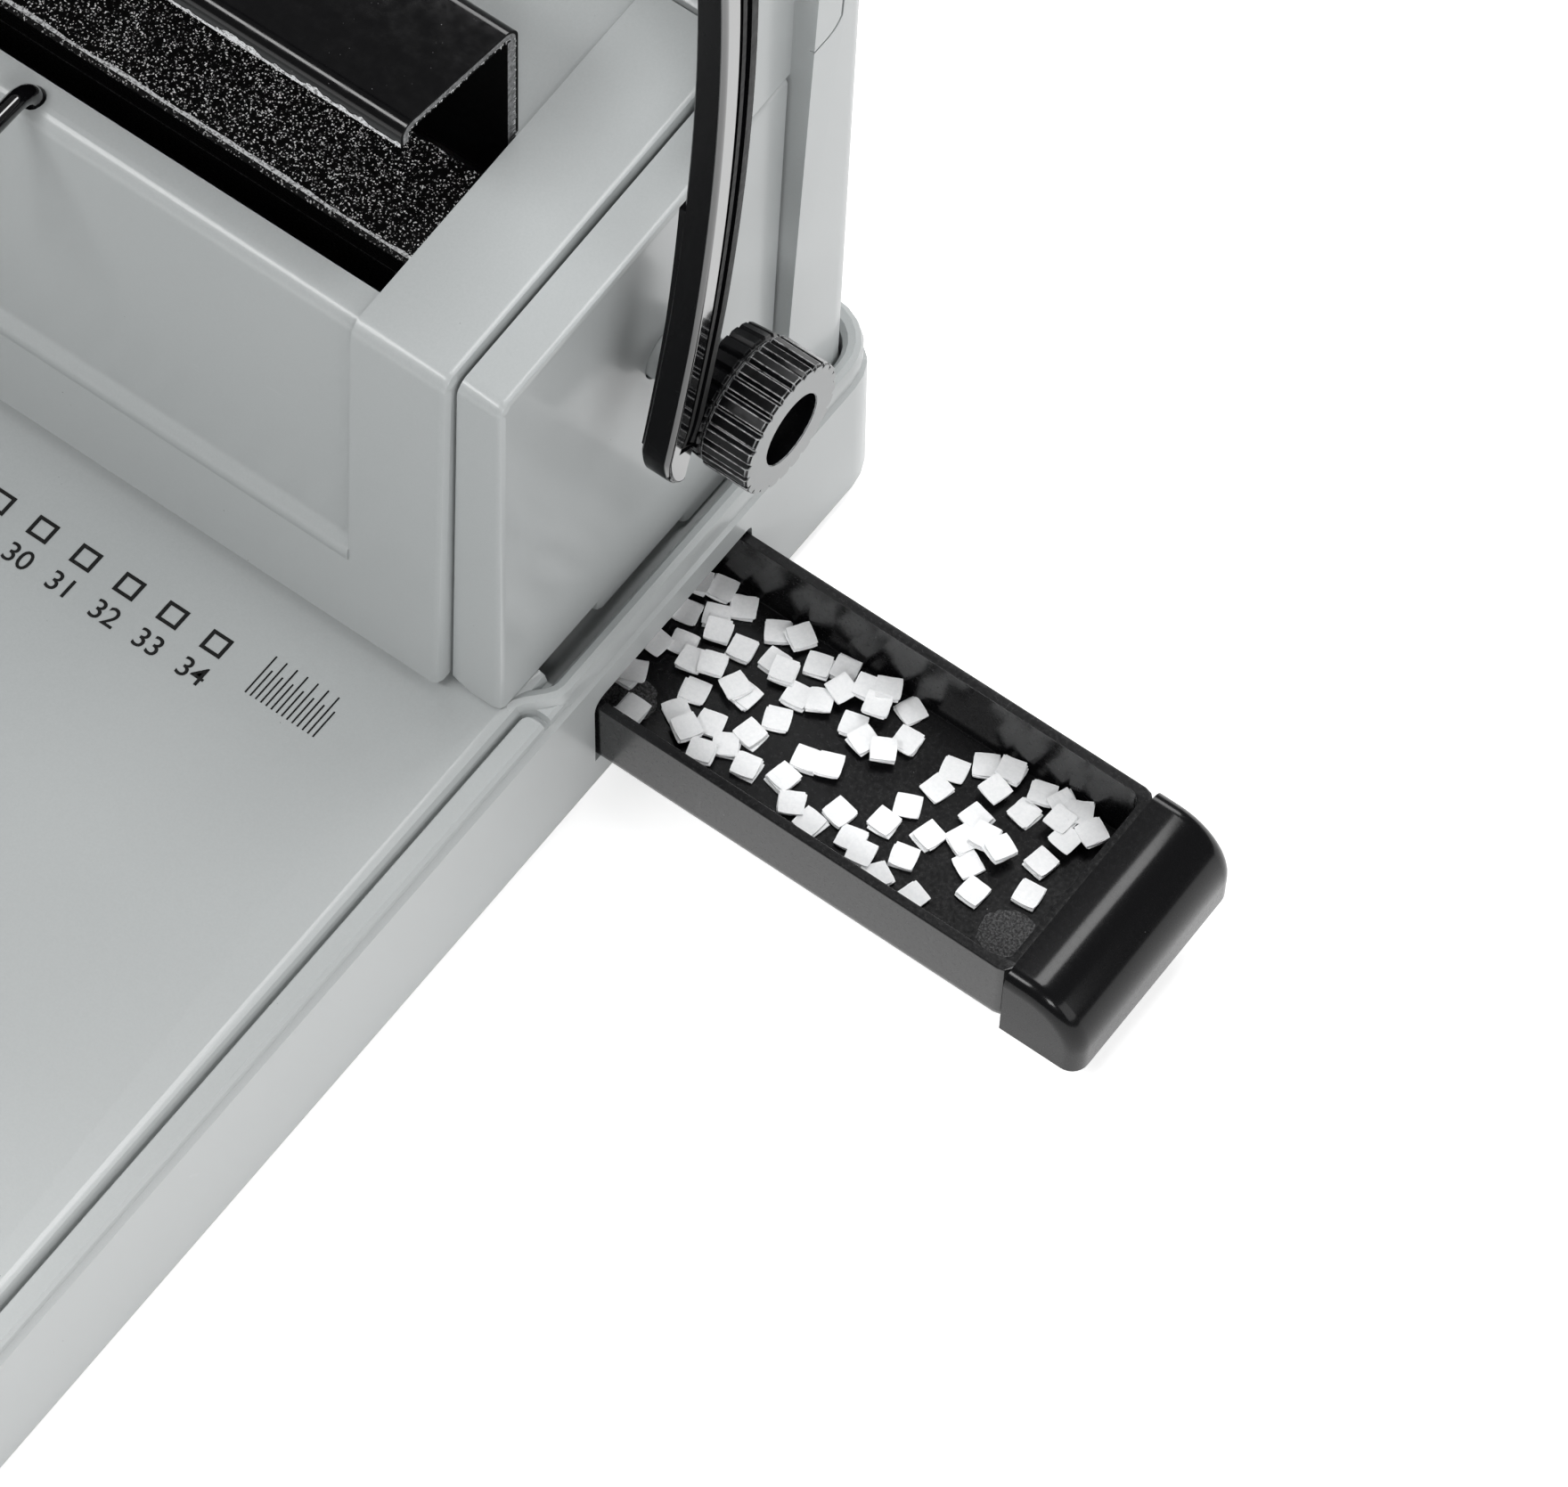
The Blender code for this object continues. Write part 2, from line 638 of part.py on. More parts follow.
def build_base():
    ledge_z = TRAY_Z - LEDGE_DROP
    step_z = TRAY_Z - RIM_STEP_DROP
    step_in = WALL_DRAFT + RIM_STEP_IN
    shell = finish("base_shell", base_stack([
        (0, BASE_EDGE_Z),
        (WALL_DRAFT, step_z),
        (step_in, step_z + RIM_STEP_IN),
        (step_in, ledge_z - LEDGE_ROUND),
        (step_in + LEDGE_ROUND, ledge_z),
    ]), "grey_housing")

    groove_mid = LEDGE_INNER_INSET + GROOVE_WIDTH / 2
    half_groove = GROOVE_WIDTH / 2
    floor_z = TRAY_Z - GROOVE_DROP
    groove = finish("cut_rim_groove", swept(rim_path(groove_mid, LOOP_Y - GROOVE_WIDTH), [
        (-half_groove, floor_z), (half_groove, floor_z),
        (half_groove, TRAY_Z + OVERRUN), (-half_groove, TRAY_Z + OVERRUN),
    ]), None, cutter=True)
    cut(shell, groove)

    slab = finish("add_tray_slab", base_stack([
        (TRAY_LIP_INSET, TRAY_Z - VALLEY_DROP),
        (TRAY_LIP_INSET, TRAY_Z - LIP_ROUND),
        (TRAY_LIP_INSET + LIP_ROUND * 0.3, TRAY_Z - LIP_ROUND * 0.3),
        (TRAY_LIP_INSET + LIP_ROUND, TRAY_Z),
    ]), None, cutter=True)
    join(shell, slab)

    valley_z = TRAY_Z - VALLEY_DROP
    inner = BASE_HALF_WIDTH - RIDGE_INSET
    valley_back = base_back_y() - RIDGE_INSET
    valley_front = LOOP_Y + LOOP_RUN
    path = [(VALLEY_INNER_X, valley_front), (inner, valley_front), (inner, valley_back),
            (-inner, valley_back), (-inner, valley_front), (-VALLEY_INNER_X, valley_front),
            (-VALLEY_INNER_X, plateau_back_y()), (VALLEY_INNER_X, plateau_back_y())]
    valley = finish("cut_valley", prism_z(path, valley_z, TRAY_Z + OVERRUN), None, cutter=True)
    cut(shell, valley)

    crest = TRAY_Z + RIDGE_RISE
    ridge = finish("add_ridge", swept(ridge_path(), [
        (RIDGE_INNER_HALF, valley_z - OVERRUN),
        (RIDGE_INNER_HALF, crest - 2 * RIDGE_SHOULDER),
        (RIDGE_INNER_HALF * 0.6, crest - RIDGE_SHOULDER * 0.6),
        (0, crest),
        (-RIDGE_OUTER_HALF * 0.7, crest - RIDGE_SHOULDER * 0.6),
        (-RIDGE_OUTER_HALF, crest - 2 * RIDGE_SHOULDER),
        (-RIDGE_OUTER_HALF, valley_z - OVERRUN),
    ]), None, cutter=True)
    join(shell, ridge)

    cavity = finish("cut_base_cavity", base_stack([
        (BASE_WALL, BASE_EDGE_Z - OVERRUN),
        (BASE_WALL + WALL_DRAFT, valley_z - BASE_WALL),
    ]), None, cutter=True)
    cut(shell, cavity)

    front_half = BASE_HALF_WIDTH - TRAY_LIP_INSET - LIP_ROUND - BASE_WALL
    back_half = VALLEY_INNER_X - BASE_WALL
    front = base_front_y() + TRAY_LIP_INSET + LIP_ROUND + BASE_WALL
    neck = LOOP_Y - LOOP_RUN
    plan = [(-front_half, front), (front_half, front), (front_half, neck), (back_half, neck),
            (back_half, plateau_back_y() - BASE_WALL), (-back_half, plateau_back_y() - BASE_WALL),
            (-back_half, neck), (-front_half, neck)]
    pocket = finish("cut_tray_underside", prism_z(plan, valley_z - BASE_WALL - OVERRUN,
                                                 TRAY_Z - TRAY_PLATE), None, cutter=True)
    cut(shell, pocket)

    opening = [(DRAWER_Y0 - DRAWER_SLIP, DRAWER_Z0 - DRAWER_SLIP, 0),
               (DRAWER_Y1 + DRAWER_SLIP, DRAWER_Z0 - DRAWER_SLIP, 0),
               (DRAWER_Y1 + DRAWER_SLIP, DRAWER_Z1 + DRAWER_CAP_RISE, OPENING_R / 2),
               (DRAWER_Y0 - DRAWER_SLIP, DRAWER_Z1 + DRAWER_CAP_RISE, OPENING_R)]
    mouth = finish("cut_drawer_mouth", prism_x(
        fillet(opening), BASE_HALF_WIDTH - BASE_WALL - 2 * OVERRUN,
        BASE_HALF_WIDTH + OVERRUN), None, cutter=True)
    cut(shell, mouth)

    die_window = finish("cut_die_window", block(
        -DIE_HALF - GAP, DIE_HALF + GAP, PUNCH_Y - DIE_FRONT - GAP, PUNCH_Y + DIE_BACK + GAP,
        valley_z - BASE_WALL - OVERRUN, TRAY_Z + OVERRUN), None, cutter=True)
    cut(shell, die_window)

    peg = finish("cut_guide_slot", block(
        -GUIDE_FENCE_X - FENCE_BASE / 2 - PEG_R - FENCE_TRAVEL - GAP,
        -GUIDE_FENCE_X - FENCE_BASE / 2 + PEG_R + FENCE_TRAVEL + GAP,
        fence_mid_y() - PEG_R - GAP, fence_mid_y() + PEG_R + GAP,
        TRAY_Z - TRAY_PLATE - OVERRUN, TRAY_Z + OVERRUN), None, cutter=True)
    cut(shell, peg)
    return shell


def plate_z():
    return BASE_EDGE_Z + PLATE_SEAT


def build_bottom():
    inset = BASE_WALL + GAP
    finish("bottom_plate", base_stack([(inset, plate_z()), (inset, plate_z() + PLATE_T)]), "zinc")
    spots = (("front_right", 1, -1), ("front_left", -1, -1), ("rear_right", 1, 1),
             ("rear_left", -1, 1))
    for name, side, end in spots:
        x = side * (BASE_HALF_WIDTH - FOOT_INSET)
        y = base_back_y() - FOOT_INSET if end > 0 else base_front_y() + FOOT_INSET
        top = plate_z() - GAP
        finish("foot_" + name, turned_z([(0, FOOT_R * 0.86), (top * 0.3, FOOT_R * 0.94),
                                         (top, FOOT_R)], x, y), "rubber", (x, y, 0))


# Housing

def front_y(z, lean=FRONT_LEAN):
    return HOUSING_FRONT_Y + (z - TRAY_Z - SLOT_H) * lean


def top_z(y, drop=0.0):
    return HOUSING_TOP_Z - drop + (y - HOUSING_FRONT_Y) * TOP_RISE


def rear_front_y(z):
    """The rear cover's front face leans back a little."""
    return REAR_FRONT_Y + (z - TRAY_Z + REAR_BOTTOM_DROP) * REAR_LEAN


def back_y(z):
    return rear_front_y(z) - BACK_GAP


def housing_outline(inset, bottom, radius):
    """Section of the housing in (y, z), taken in by inset at the front, top and back."""
    front_top = front_y(HOUSING_TOP_Z) + inset
    back_low = back_y(bottom) - inset
    back_top = back_y(HOUSING_TOP_Z) - inset
    return fillet([
        (front_y(bottom) + inset, bottom, 0),
        (back_low, bottom, 0),
        (back_top, top_z(back_top, inset), 0),
        (front_top, top_z(front_top, inset), max(radius - inset, RIM_STEP_IN)),
    ], 5)


def panel_outline(inset):
    """Section of what is cut off the housing's front and top between the panel's ends."""
    edge = HOUSING_TOP_Z
    outside = OVERRUN + PANEL_BEVEL
    back = back_y(edge) + outside
    return fillet([
        (front_y(PANEL_LOW_Z) - outside, PANEL_LOW_Z - PANEL_BEVEL - outside, 0),
        (front_y(PANEL_LOW_Z) + inset, PANEL_LOW_Z, 0),
        (front_y(edge) + inset, top_z(front_y(edge), inset), HOUSING_EDGE_R),
        (back, top_z(back, inset), 0),
        (back, top_z(back) + outside, 0),
        (front_y(edge) - outside, top_z(front_y(edge)) + outside, 0),
    ], 5)


def build_housing():
    bottom = TRAY_Z + GAP
    rings = []
    for x_in, inset in ((0, HOUSING_END_R), (HOUSING_END_R * 0.29, HOUSING_END_R * 0.29),
                        (HOUSING_END_R, 0)):
        outline = housing_outline(inset, bottom, HOUSING_EDGE_R)
        rings.append([(-HOUSING_HALF + x_in, y, z) for y, z in outline])
    rings += [[(-x, y, z) for x, y, z in ring] for ring in reversed(rings)]
    shell = finish("main_housing", loft(rings), "grey_housing")
    back = back_y(HOUSING_TOP_Z) + OVERRUN
    recess = finish("cut_front_panel", prism_x(panel_outline(PANEL_INSET), -PANEL_HALF, PANEL_HALF),
                    None, cutter=True)
    cut(shell, recess)
    for name, side in SIDES:
        seam = prism_x(panel_outline(PANEL_INSET + SEAM_DEPTH), PANEL_HALF - SEAM_W,
                       PANEL_HALF - PANEL_MARGIN / 4)
        cut(shell, finish("cut_panel_seam_" + name, mirrored(seam, side), None, cutter=True))

    cavity = finish("cut_housing_cavity", prism_x(
        housing_outline(PANEL_INSET + HOUSING_WALL, bottom - OVERRUN, HOUSING_EDGE_R),
        -HOUSING_HALF + HOUSING_WALL, HOUSING_HALF - HOUSING_WALL), None, cutter=True)
    cut(shell, cavity)

    slot = finish("cut_paper_slot", block(
        -HOUSING_HALF - OVERRUN, HOUSING_HALF + OVERRUN, HOUSING_FRONT_Y - OVERRUN, HOUSING_FRONT_Y + 2 * HOUSING_WALL,
        bottom - OVERRUN, TRAY_Z + SLOT_H), None, cutter=True)
    cut(shell, slot)

    well_low = HOUSING_TOP_Z - 2 * HOUSING_WALL - PANEL_INSET
    well = finish("cut_closer_well", block(
        -WELL_HALF, WELL_HALF, WELL_FRONT_Y, WELL_BACK_Y, well_low, top_z(back) + OVERRUN),
        None, cutter=True)
    cut(shell, well)

    rear_gap = finish("cut_rear_access", block(
        -HOUSING_HALF + 2 * HOUSING_WALL, HOUSING_HALF - 2 * HOUSING_WALL,
        back_y(bottom) - 2 * HOUSING_WALL, back, bottom + 2 * HOUSING_WALL,
        HOUSING_TOP_Z - 2 * HOUSING_WALL), None, cutter=True)
    cut(shell, rear_gap)

    for name, side in SIDES:
        hole = finish("cut_shaft_hole_" + name, cylinder_x(
            side * HOUSING_HALF - 2 * HOUSING_WALL, side * HOUSING_HALF + 2 * HOUSING_WALL,
            AXIS_Y, AXIS_Z, BUSH_FLANGE_R + GAP), None, cutter=True)
        cut(shell, hole)
        x = side * HOOK_X
        scoop = finish("cut_hook_scoop_" + name, prism_x(
            circle(front_y(HOUSING_TOP_Z) - SCOOP_R * 0.62, HOUSING_TOP_Z + SCOOP_R * 0.30,
                   SCOOP_R * 0.9, 24), x - SCOOP_HALF, x + SCOOP_HALF), None, cutter=True)
        cut(shell, scoop)
        socket = finish("cut_hook_socket_" + name, cylinder_z(
            x, hook_y(), HOUSING_TOP_Z - 3 * HOUSING_WALL, HOUSING_TOP_Z + 2 * HOUSING_WALL,
            HOOK_R + GAP, 16), None, cutter=True)
        cut(shell, socket)
    return shell


# Side cheeks

def cheek_outline(inset, rear_inset=0.0):
    """Section of a cheek in (y, z), with its stepped lower edge and straight rear edge."""
    bottom = TRAY_Z + CHEEK_LIFT
    front_low = HOUSING_FRONT_Y + CHEEK_FRONT_SET + inset
    rise = HOUSING_TOP_Z - TRAY_Z
    front_high = front_low + rise * CHEEK_LEAN
    back_low = back_y(bottom - 2 * CHEEK_STEP_DROP) - rear_inset
    back = back_y(HOUSING_TOP_Z) - rear_inset
    drop = CHEEK_TOP_DROP + inset
    first, second = [HOUSING_FRONT_Y + run for run in CHEEK_STEP_RUNS]
    return [
        (front_low, bottom, 0),
        (first + inset, bottom, 0),
        (first + inset, bottom - CHEEK_STEP_DROP, 0),
        (second + inset, bottom - CHEEK_STEP_DROP, 0),
        (second + inset, bottom - 2 * CHEEK_STEP_DROP, 0),
        (back_low, bottom - 2 * CHEEK_STEP_DROP, 0),
        (back, top_z(back, drop), 0),
        (front_high, top_z(front_high, drop), max(CHEEK_EDGE_R - inset, SMALL_R)),
    ]


def cheek_x(z):
    return CHEEK_FOOT_X - (z - TRAY_Z) * CHEEK_DRAFT


def build_cheeks():
    inner = HOUSING_HALF + CHEEK_GAP
    shoulder = 0.45
    for name, side in SIDES:
        rings = []
        outline = fillet(cheek_outline(0), 5)
        rings.append([(inner, y, z) for y, z in outline])
        rings.append([(cheek_x(z) - CHEEK_EDGE_R * 0.5, y, z) for y, z in outline])
        soft = fillet(cheek_outline(CHEEK_EDGE_R * shoulder * 0.35), 5)
        rings.append([(cheek_x(z) - CHEEK_EDGE_R * 0.14, y, z) for y, z in soft])
        soft = fillet(cheek_outline(CHEEK_EDGE_R * shoulder), 5)
        rings.append([(cheek_x(z), y, z) for y, z in soft])
        cheek = finish("side_cheek_" + name, mirrored(loft(rings), side), "grey_housing")

        hollow = fillet(cheek_outline(CHEEK_WALL, CHEEK_WALL), 5)
        rings = [[(inner - OVERRUN, y, z) for y, z in hollow],
                 [(cheek_x(z) - CHEEK_WALL, y, z) for y, z in hollow]]
        cutter = finish("cut_cheek_hollow_" + name, mirrored(loft(rings), side), None, cutter=True)
        cut(cheek, cutter)
        last_step = HOUSING_FRONT_Y + CHEEK_STEP_RUNS[1]
        below = block(inner - OVERRUN, CHEEK_FOOT_X - CHEEK_WALL, last_step + CHEEK_WALL,
                      back_y(TRAY_Z - VALLEY_DROP) - CHEEK_WALL, TRAY_Z - VALLEY_DROP,
                      TRAY_Z + CHEEK_WALL)
        cutter = finish("cut_cheek_foot_" + name, mirrored(below, side), None, cutter=True)
        cut(cheek, cutter)
        hole = mirrored(cylinder_x(inner, CHEEK_FOOT_X + OVERRUN, AXIS_Y, AXIS_Z,
                                   SHAFT_R + 2 * RUNNING), side)
        cutter = finish("cut_cheek_bore_" + name, hole, None, cutter=True)
        cut(cheek, cutter)
        sole = TRAY_Z + CHEEK_LIFT
        front = HOUSING_FRONT_Y + CHEEK_FRONT_SET
        toe = prism_y([(inner - OVERRUN, sole - OVERRUN), (inner + CHEEK_TOE_RUN, sole - OVERRUN),
                       (inner + CHEEK_TOE_RUN, sole), (inner - OVERRUN, sole + CHEEK_TOE_RISE)],
                      front - OVERRUN, front + CHEEK_WALL + OVERRUN)
        cutter = finish("cut_cheek_toe_" + name, mirrored(toe, side), None, cutter=True)
        cut(cheek, cutter)


# Rear cover

def rear_outline(inset):
    """Section of the rear cover in (y, z), before the hood's front is cut back."""
    bottom = TRAY_Z - REAR_BOTTOM_DROP
    top = REAR_TOP_Z - inset
    back = REAR_BACK_Y - inset
    return fillet([
        (rear_front_y(bottom) + inset, bottom, 0),
        (back, bottom, 0),
        (back - REAR_DRAFT, top, REAR_EDGE_R),
        (rear_front_y(top) + inset, top, REAR_EDGE_R),
    ], 6)


def hood_front(z):
    return HOOD_FRONT_Y + (z - shelf_z()) * HOOD_LEAN


def shelf_z():
    return top_z(back_y(HOUSING_TOP_Z)) - DECK_DROP


def build_rear_cover():
    radius = REAR_CORNER_R
    outline = rear_outline(0)
    depth = REAR_BACK_Y - REAR_FRONT_Y
    crown = 2 * REAR_EDGE_R
    sections = []
    for step in range(5):
        angle = math.pi / 2 * step / 4
        inset = radius * (1 - math.cos(angle))
        moved = []
        for y, z in outline:
            deep = max(0.0, min(1.0, (y - rear_front_y(z)) / depth))
            high = max(0.0, min(1.0, (z - REAR_TOP_Z + crown) / crown))
            moved.append((y - inset * deep, z - inset * high))
        sections.append((REAR_HALF - radius + radius * math.sin(angle), moved))
    rings = [[(-x, y, z) for y, z in moved] for x, moved in reversed(sections)]
    rings += [[(x, y, z) for y, z in moved] for x, moved in sections]
    cover = finish("rear_cover", loft(rings), "grey_housing")

    front = REAR_FRONT_Y - OVERRUN
    above = REAR_TOP_Z + OVERRUN
    notch = fillet([
        (front, shelf_z(), 0),
        (HOOD_FRONT_Y, shelf_z(), HOOD_SWEEP_R),
        (hood_front(above), above, 0),
        (front, above, 0),
    ], 8)
    cut(cover, finish("cut_hood_front", prism_x(notch, -EAR_IN_X, EAR_IN_X), None, cutter=True))
    for name, side in SIDES:
        add_ear(cover, name, side)
        cut_cover_seam(cover, name, side)

    hollow = finish("cut_rear_hollow", prism_x([
        (rear_front_y(TRAY_Z) + 2 * REAR_WALL, TRAY_Z - REAR_BOTTOM_DROP - OVERRUN),
        (REAR_BACK_Y - REAR_WALL, TRAY_Z - REAR_BOTTOM_DROP - OVERRUN),
        (REAR_BACK_Y - REAR_WALL - REAR_DRAFT, REAR_TOP_Z - 2 * REAR_WALL),
        (hood_front(REAR_TOP_Z) + REAR_WALL, REAR_TOP_Z - 2 * REAR_WALL),
        (HOOD_FRONT_Y + REAR_WALL, shelf_z() + REAR_WALL),
        (rear_front_y(shelf_z()) + REAR_WALL, shelf_z() - REAR_WALL)],
        -REAR_HALF + REAR_WALL + REAR_CORNER_R / 2, REAR_HALF - REAR_WALL - REAR_CORNER_R / 2),
        None, cutter=True)
    cut(cover, hollow)
    window = finish("cut_rear_inside", block(
        -HOUSING_HALF + 2 * HOUSING_WALL, HOUSING_HALF - 2 * HOUSING_WALL,
        REAR_FRONT_Y - OVERRUN, rear_front_y(HOUSING_TOP_Z) + 2 * REAR_WALL,
        TRAY_Z - REAR_BOTTOM_DROP - OVERRUN, HOUSING_TOP_Z - 2 * HOUSING_WALL), None, cutter=True)
    cut(cover, window)
    return cover


def add_ear(cover, name, side):
    """Upright at each end of the hood, standing on the side cheek's rear end."""
    back = rear_front_y(REAR_TOP_Z) + 2 * REAR_WALL
    seat = top_z(EAR_FRONT_Y, CHEEK_TOP_DROP) + EAR_SEAT
    seat_back = top_z(back, CHEEK_TOP_DROP) + EAR_SEAT
    toe = EAR_FRONT_Y - EAR_SWEEP_R
    toe_seat = top_z(toe, CHEEK_TOP_DROP) + EAR_SEAT
    ear = [(toe, toe_seat), (back, seat_back), (back, REAR_TOP_Z - EAR_TOP_R / 2)]
    ear += arc((EAR_FRONT_Y + EAR_TOP_R, REAR_TOP_Z - EAR_TOP_R / 2 - EAR_TOP_R), EAR_TOP_R,
               90, 180, 6)
    ear += arc((toe, seat + EAR_SEAT + EAR_SWEEP_R), EAR_SWEEP_R, 0, -90, 6)
    rings = [[(EAR_IN_X, y, z) for y, z in ear], [(cheek_x(z), y, z) for y, z in ear]]
    join(cover, finish("add_ear_" + name, mirrored(loft(rings), side), None, cutter=True))


def cut_cover_seam(cover, name, side):
    """Fine joint line on the cover's end, running back and then up."""
    path = [(REAR_FRONT_Y - OVERRUN, COVER_SEAM_Z)]
    path += arc((COVER_SEAM_Y - COVER_SEAM_R, COVER_SEAM_Z + COVER_SEAM_R), COVER_SEAM_R,
                -90, -30, 4)
    last = path[-1]
    path.append((last[0] + (REAR_TOP_Z - last[1]) * HOOD_LEAN, REAR_TOP_Z + OVERRUN))
    half = COVER_SEAM_W / 2
    low = [(y + half, z - half) for y, z in path]
    high = [(y - half, z + half) for y, z in path]
    groove = prism_x(low + high[::-1], REAR_HALF - COVER_SEAM_DEPTH, REAR_HALF + OVERRUN)
    cut(cover, finish("cut_cover_seam_" + name, mirrored(groove, side), None, cutter=True))


# Steel frame

def build_frame():
    low = TRAY_Z + GAP
    outline = fillet([
        (FRAME_FRONT_Y, low, 0),
        (FRAME_BACK_Y, low, 0),
        (FRAME_BACK_Y, FRAME_TOP_Z, FRAME_CORNER),
        (FRAME_FRONT_Y, FRAME_TOP_Z, FRAME_CORNER),
    ], 4)
    for name, side in SIDES:
        plate = finish("side_plate_" + name, mirrored(prism_x(
            outline, PLATE_X, PLATE_X + FRAME_PLATE_T), side), "zinc")
        seat = mirrored(cylinder_x(PLATE_X - OVERRUN, PLATE_X + FRAME_PLATE_T + OVERRUN,
                                   AXIS_Y, AXIS_Z, BUSH_R + GAP), side)
        cut(plate, finish("cut_bush_seat_" + name, seat, None, cutter=True))
        tie = mirrored(cylinder_x(PLATE_X - OVERRUN, PLATE_X + FRAME_PLATE_T + OVERRUN,
                                  BEAM_Y, BEAM_Z, BEAM_R * 0.6 + GAP, 24), side)
        cut(plate, finish("cut_tie_seat_" + name, tie, None, cutter=True))

        flange_x = PLATE_X + FRAME_PLATE_T + GAP
        bush = finish("shaft_bush_" + name, mirrored(turned_x([
            (PLATE_X, BUSH_R), (flange_x, BUSH_R), (flange_x, BUSH_FLANGE_R),
            (flange_x + BUSH_FLANGE_T, BUSH_FLANGE_R)], AXIS_Y, AXIS_Z), side), "bronze")
        bore = mirrored(cylinder_x(PLATE_X - OVERRUN, flange_x + BUSH_FLANGE_T + OVERRUN,
                                   AXIS_Y, AXIS_Z, SHAFT_R + RUNNING), side)
        cut(bush, finish("cut_bush_bore_" + name, bore, None, cutter=True))

    neck = BEAM_R * 0.6
    inner = PLATE_X - GAP
    outer = PLATE_X + FRAME_PLATE_T
    finish("tie_beam", turned_x([(-outer, neck), (-inner, neck), (-inner, BEAM_R), (inner, BEAM_R),
                                 (inner, neck), (outer, neck)], BEAM_Y, BEAM_Z, 24), "zinc")


# Punch and dies

def hole_places():
    return [-PUNCH_ROW_HALF + index * HOLE_PITCH for index in range(HOLE_COUNT)]


def hole_cutter(name, side_length, z0, z1):
    """All the square holes of the row as one cutter."""
    mesh_data = bmesh.new()
    half = side_length / 2
    for x in hole_places():
        corners = [(x - half, PUNCH_Y - half), (x + half, PUNCH_Y - half),
                   (x + half, PUNCH_Y + half), (x - half, PUNCH_Y + half)]
        low = [mesh_data.verts.new((u, v, z0)) for u, v in corners]
        high = [mesh_data.verts.new((u, v, z1)) for u, v in corners]
        mesh_data.faces.new(low[::-1])
        mesh_data.faces.new(high)
        for index in range(4):
            following = (index + 1) % 4
            mesh_data.faces.new((low[index], low[following], high[following], high[index]))
    return finish(name, mesh_data, None, cutter=True)


def guide_z():
    return TRAY_Z + SLOT_H + GAP


def pin_low_z():
    return guide_z() + PIN_LIFT


def punch_bar_top():
    return AXIS_Z - CAM_BASE - GAP


def punch_bar_z():
    return punch_bar_top() - PUNCH_BAR_H


def build_dies():
    die = finish("lower_die", block(-DIE_HALF, DIE_HALF, PUNCH_Y - DIE_FRONT, PUNCH_Y + DIE_BACK,
                                    TRAY_Z - DIE_T, TRAY_Z), "steel")
    cut(die, hole_cutter("cut_die_holes", HOLE_SIDE + 2 * PIN_SLIP, TRAY_Z - DIE_T - OVERRUN,
                         TRAY_Z + OVERRUN))

    low = guide_z()
    stop = TRAY_Z + GAP
    stop_y = PUNCH_Y + STOP_SETBACK
    back = PUNCH_Y + GUIDE_BACK
    guide = finish("punch_guide", prism_x([
        (PUNCH_Y - GUIDE_FRONT, low), (stop_y, low), (stop_y, stop), (back, stop),
        (back, low + GUIDE_H), (PUNCH_Y - GUIDE_FRONT, low + GUIDE_H),
    ], -DIE_HALF, DIE_HALF), "steel")
    cut(guide, hole_cutter("cut_guide_holes", HOLE_SIDE, low - OVERRUN, low + GUIDE_H + OVERRUN))
    for name, side in SIDES:
        foot = block(GUIDE_FOOT_X, DIE_HALF - OVERRUN / 2, PUNCH_Y - GUIDE_FRONT + OVERRUN / 2,
                     stop_y + OVERRUN, stop, low + OVERRUN)
        join(guide, finish("add_guide_foot_" + name, mirrored(foot, side), None, cutter=True))


def build_punch():
    bar = finish("punch_bar", block(-PUNCH_BAR_HALF, PUNCH_BAR_HALF, PUNCH_Y - PUNCH_BAR_FRONT,
                                    PUNCH_Y + PUNCH_BAR_BACK, punch_bar_z(), punch_bar_top()),
                 "steel", (0, PUNCH_Y, punch_bar_z()))
    strip_top = punch_bar_z() - GAP
    strip_low = strip_top - PIN_STRIP_H
    half = PIN_SIDE / 2
    end = PUNCH_ROW_HALF + PIN_SIDE * STRIP_END_SHARE
    comb = [(-end, strip_top), (-end, strip_low)]
    for x in hole_places():
        comb += [(x - half, strip_low), (x - half, pin_low_z()), (x + half, pin_low_z()),
                 (x + half, strip_low)]
    comb += [(end, strip_low), (end, strip_top)]
    finish("punch_pins", prism_y(comb, PUNCH_Y - half, PUNCH_Y + half), "steel",
           (0, PUNCH_Y, strip_low))

    top = punch_bar_top() + POST_OVER
    foot_z = guide_z() + GUIDE_H
    for name, side in SIDES:
        x = side * POST_X
        finish("guide_post_" + name, turned_z([
            (foot_z + GAP, POST_HEAD_R), (foot_z + GAP + BUSH_FLANGE_T, POST_HEAD_R),
            (foot_z + GAP + BUSH_FLANGE_T, POST_R), (top, POST_R)], x, PUNCH_Y, 20), "steel",
            (x, PUNCH_Y, foot_z))
        hole = cylinder_z(x, PUNCH_Y, punch_bar_z() - OVERRUN, punch_bar_top() + OVERRUN,
                          POST_R + RUNNING, 20)
        cut(bar, finish("cut_post_hole_" + name, hole, None, cutter=True))
        build_spring(name, x, foot_z + GAP + BUSH_FLANGE_T + GAP + SPRING_WIRE_R,
                     punch_bar_z() - GAP - SPRING_WIRE_R)


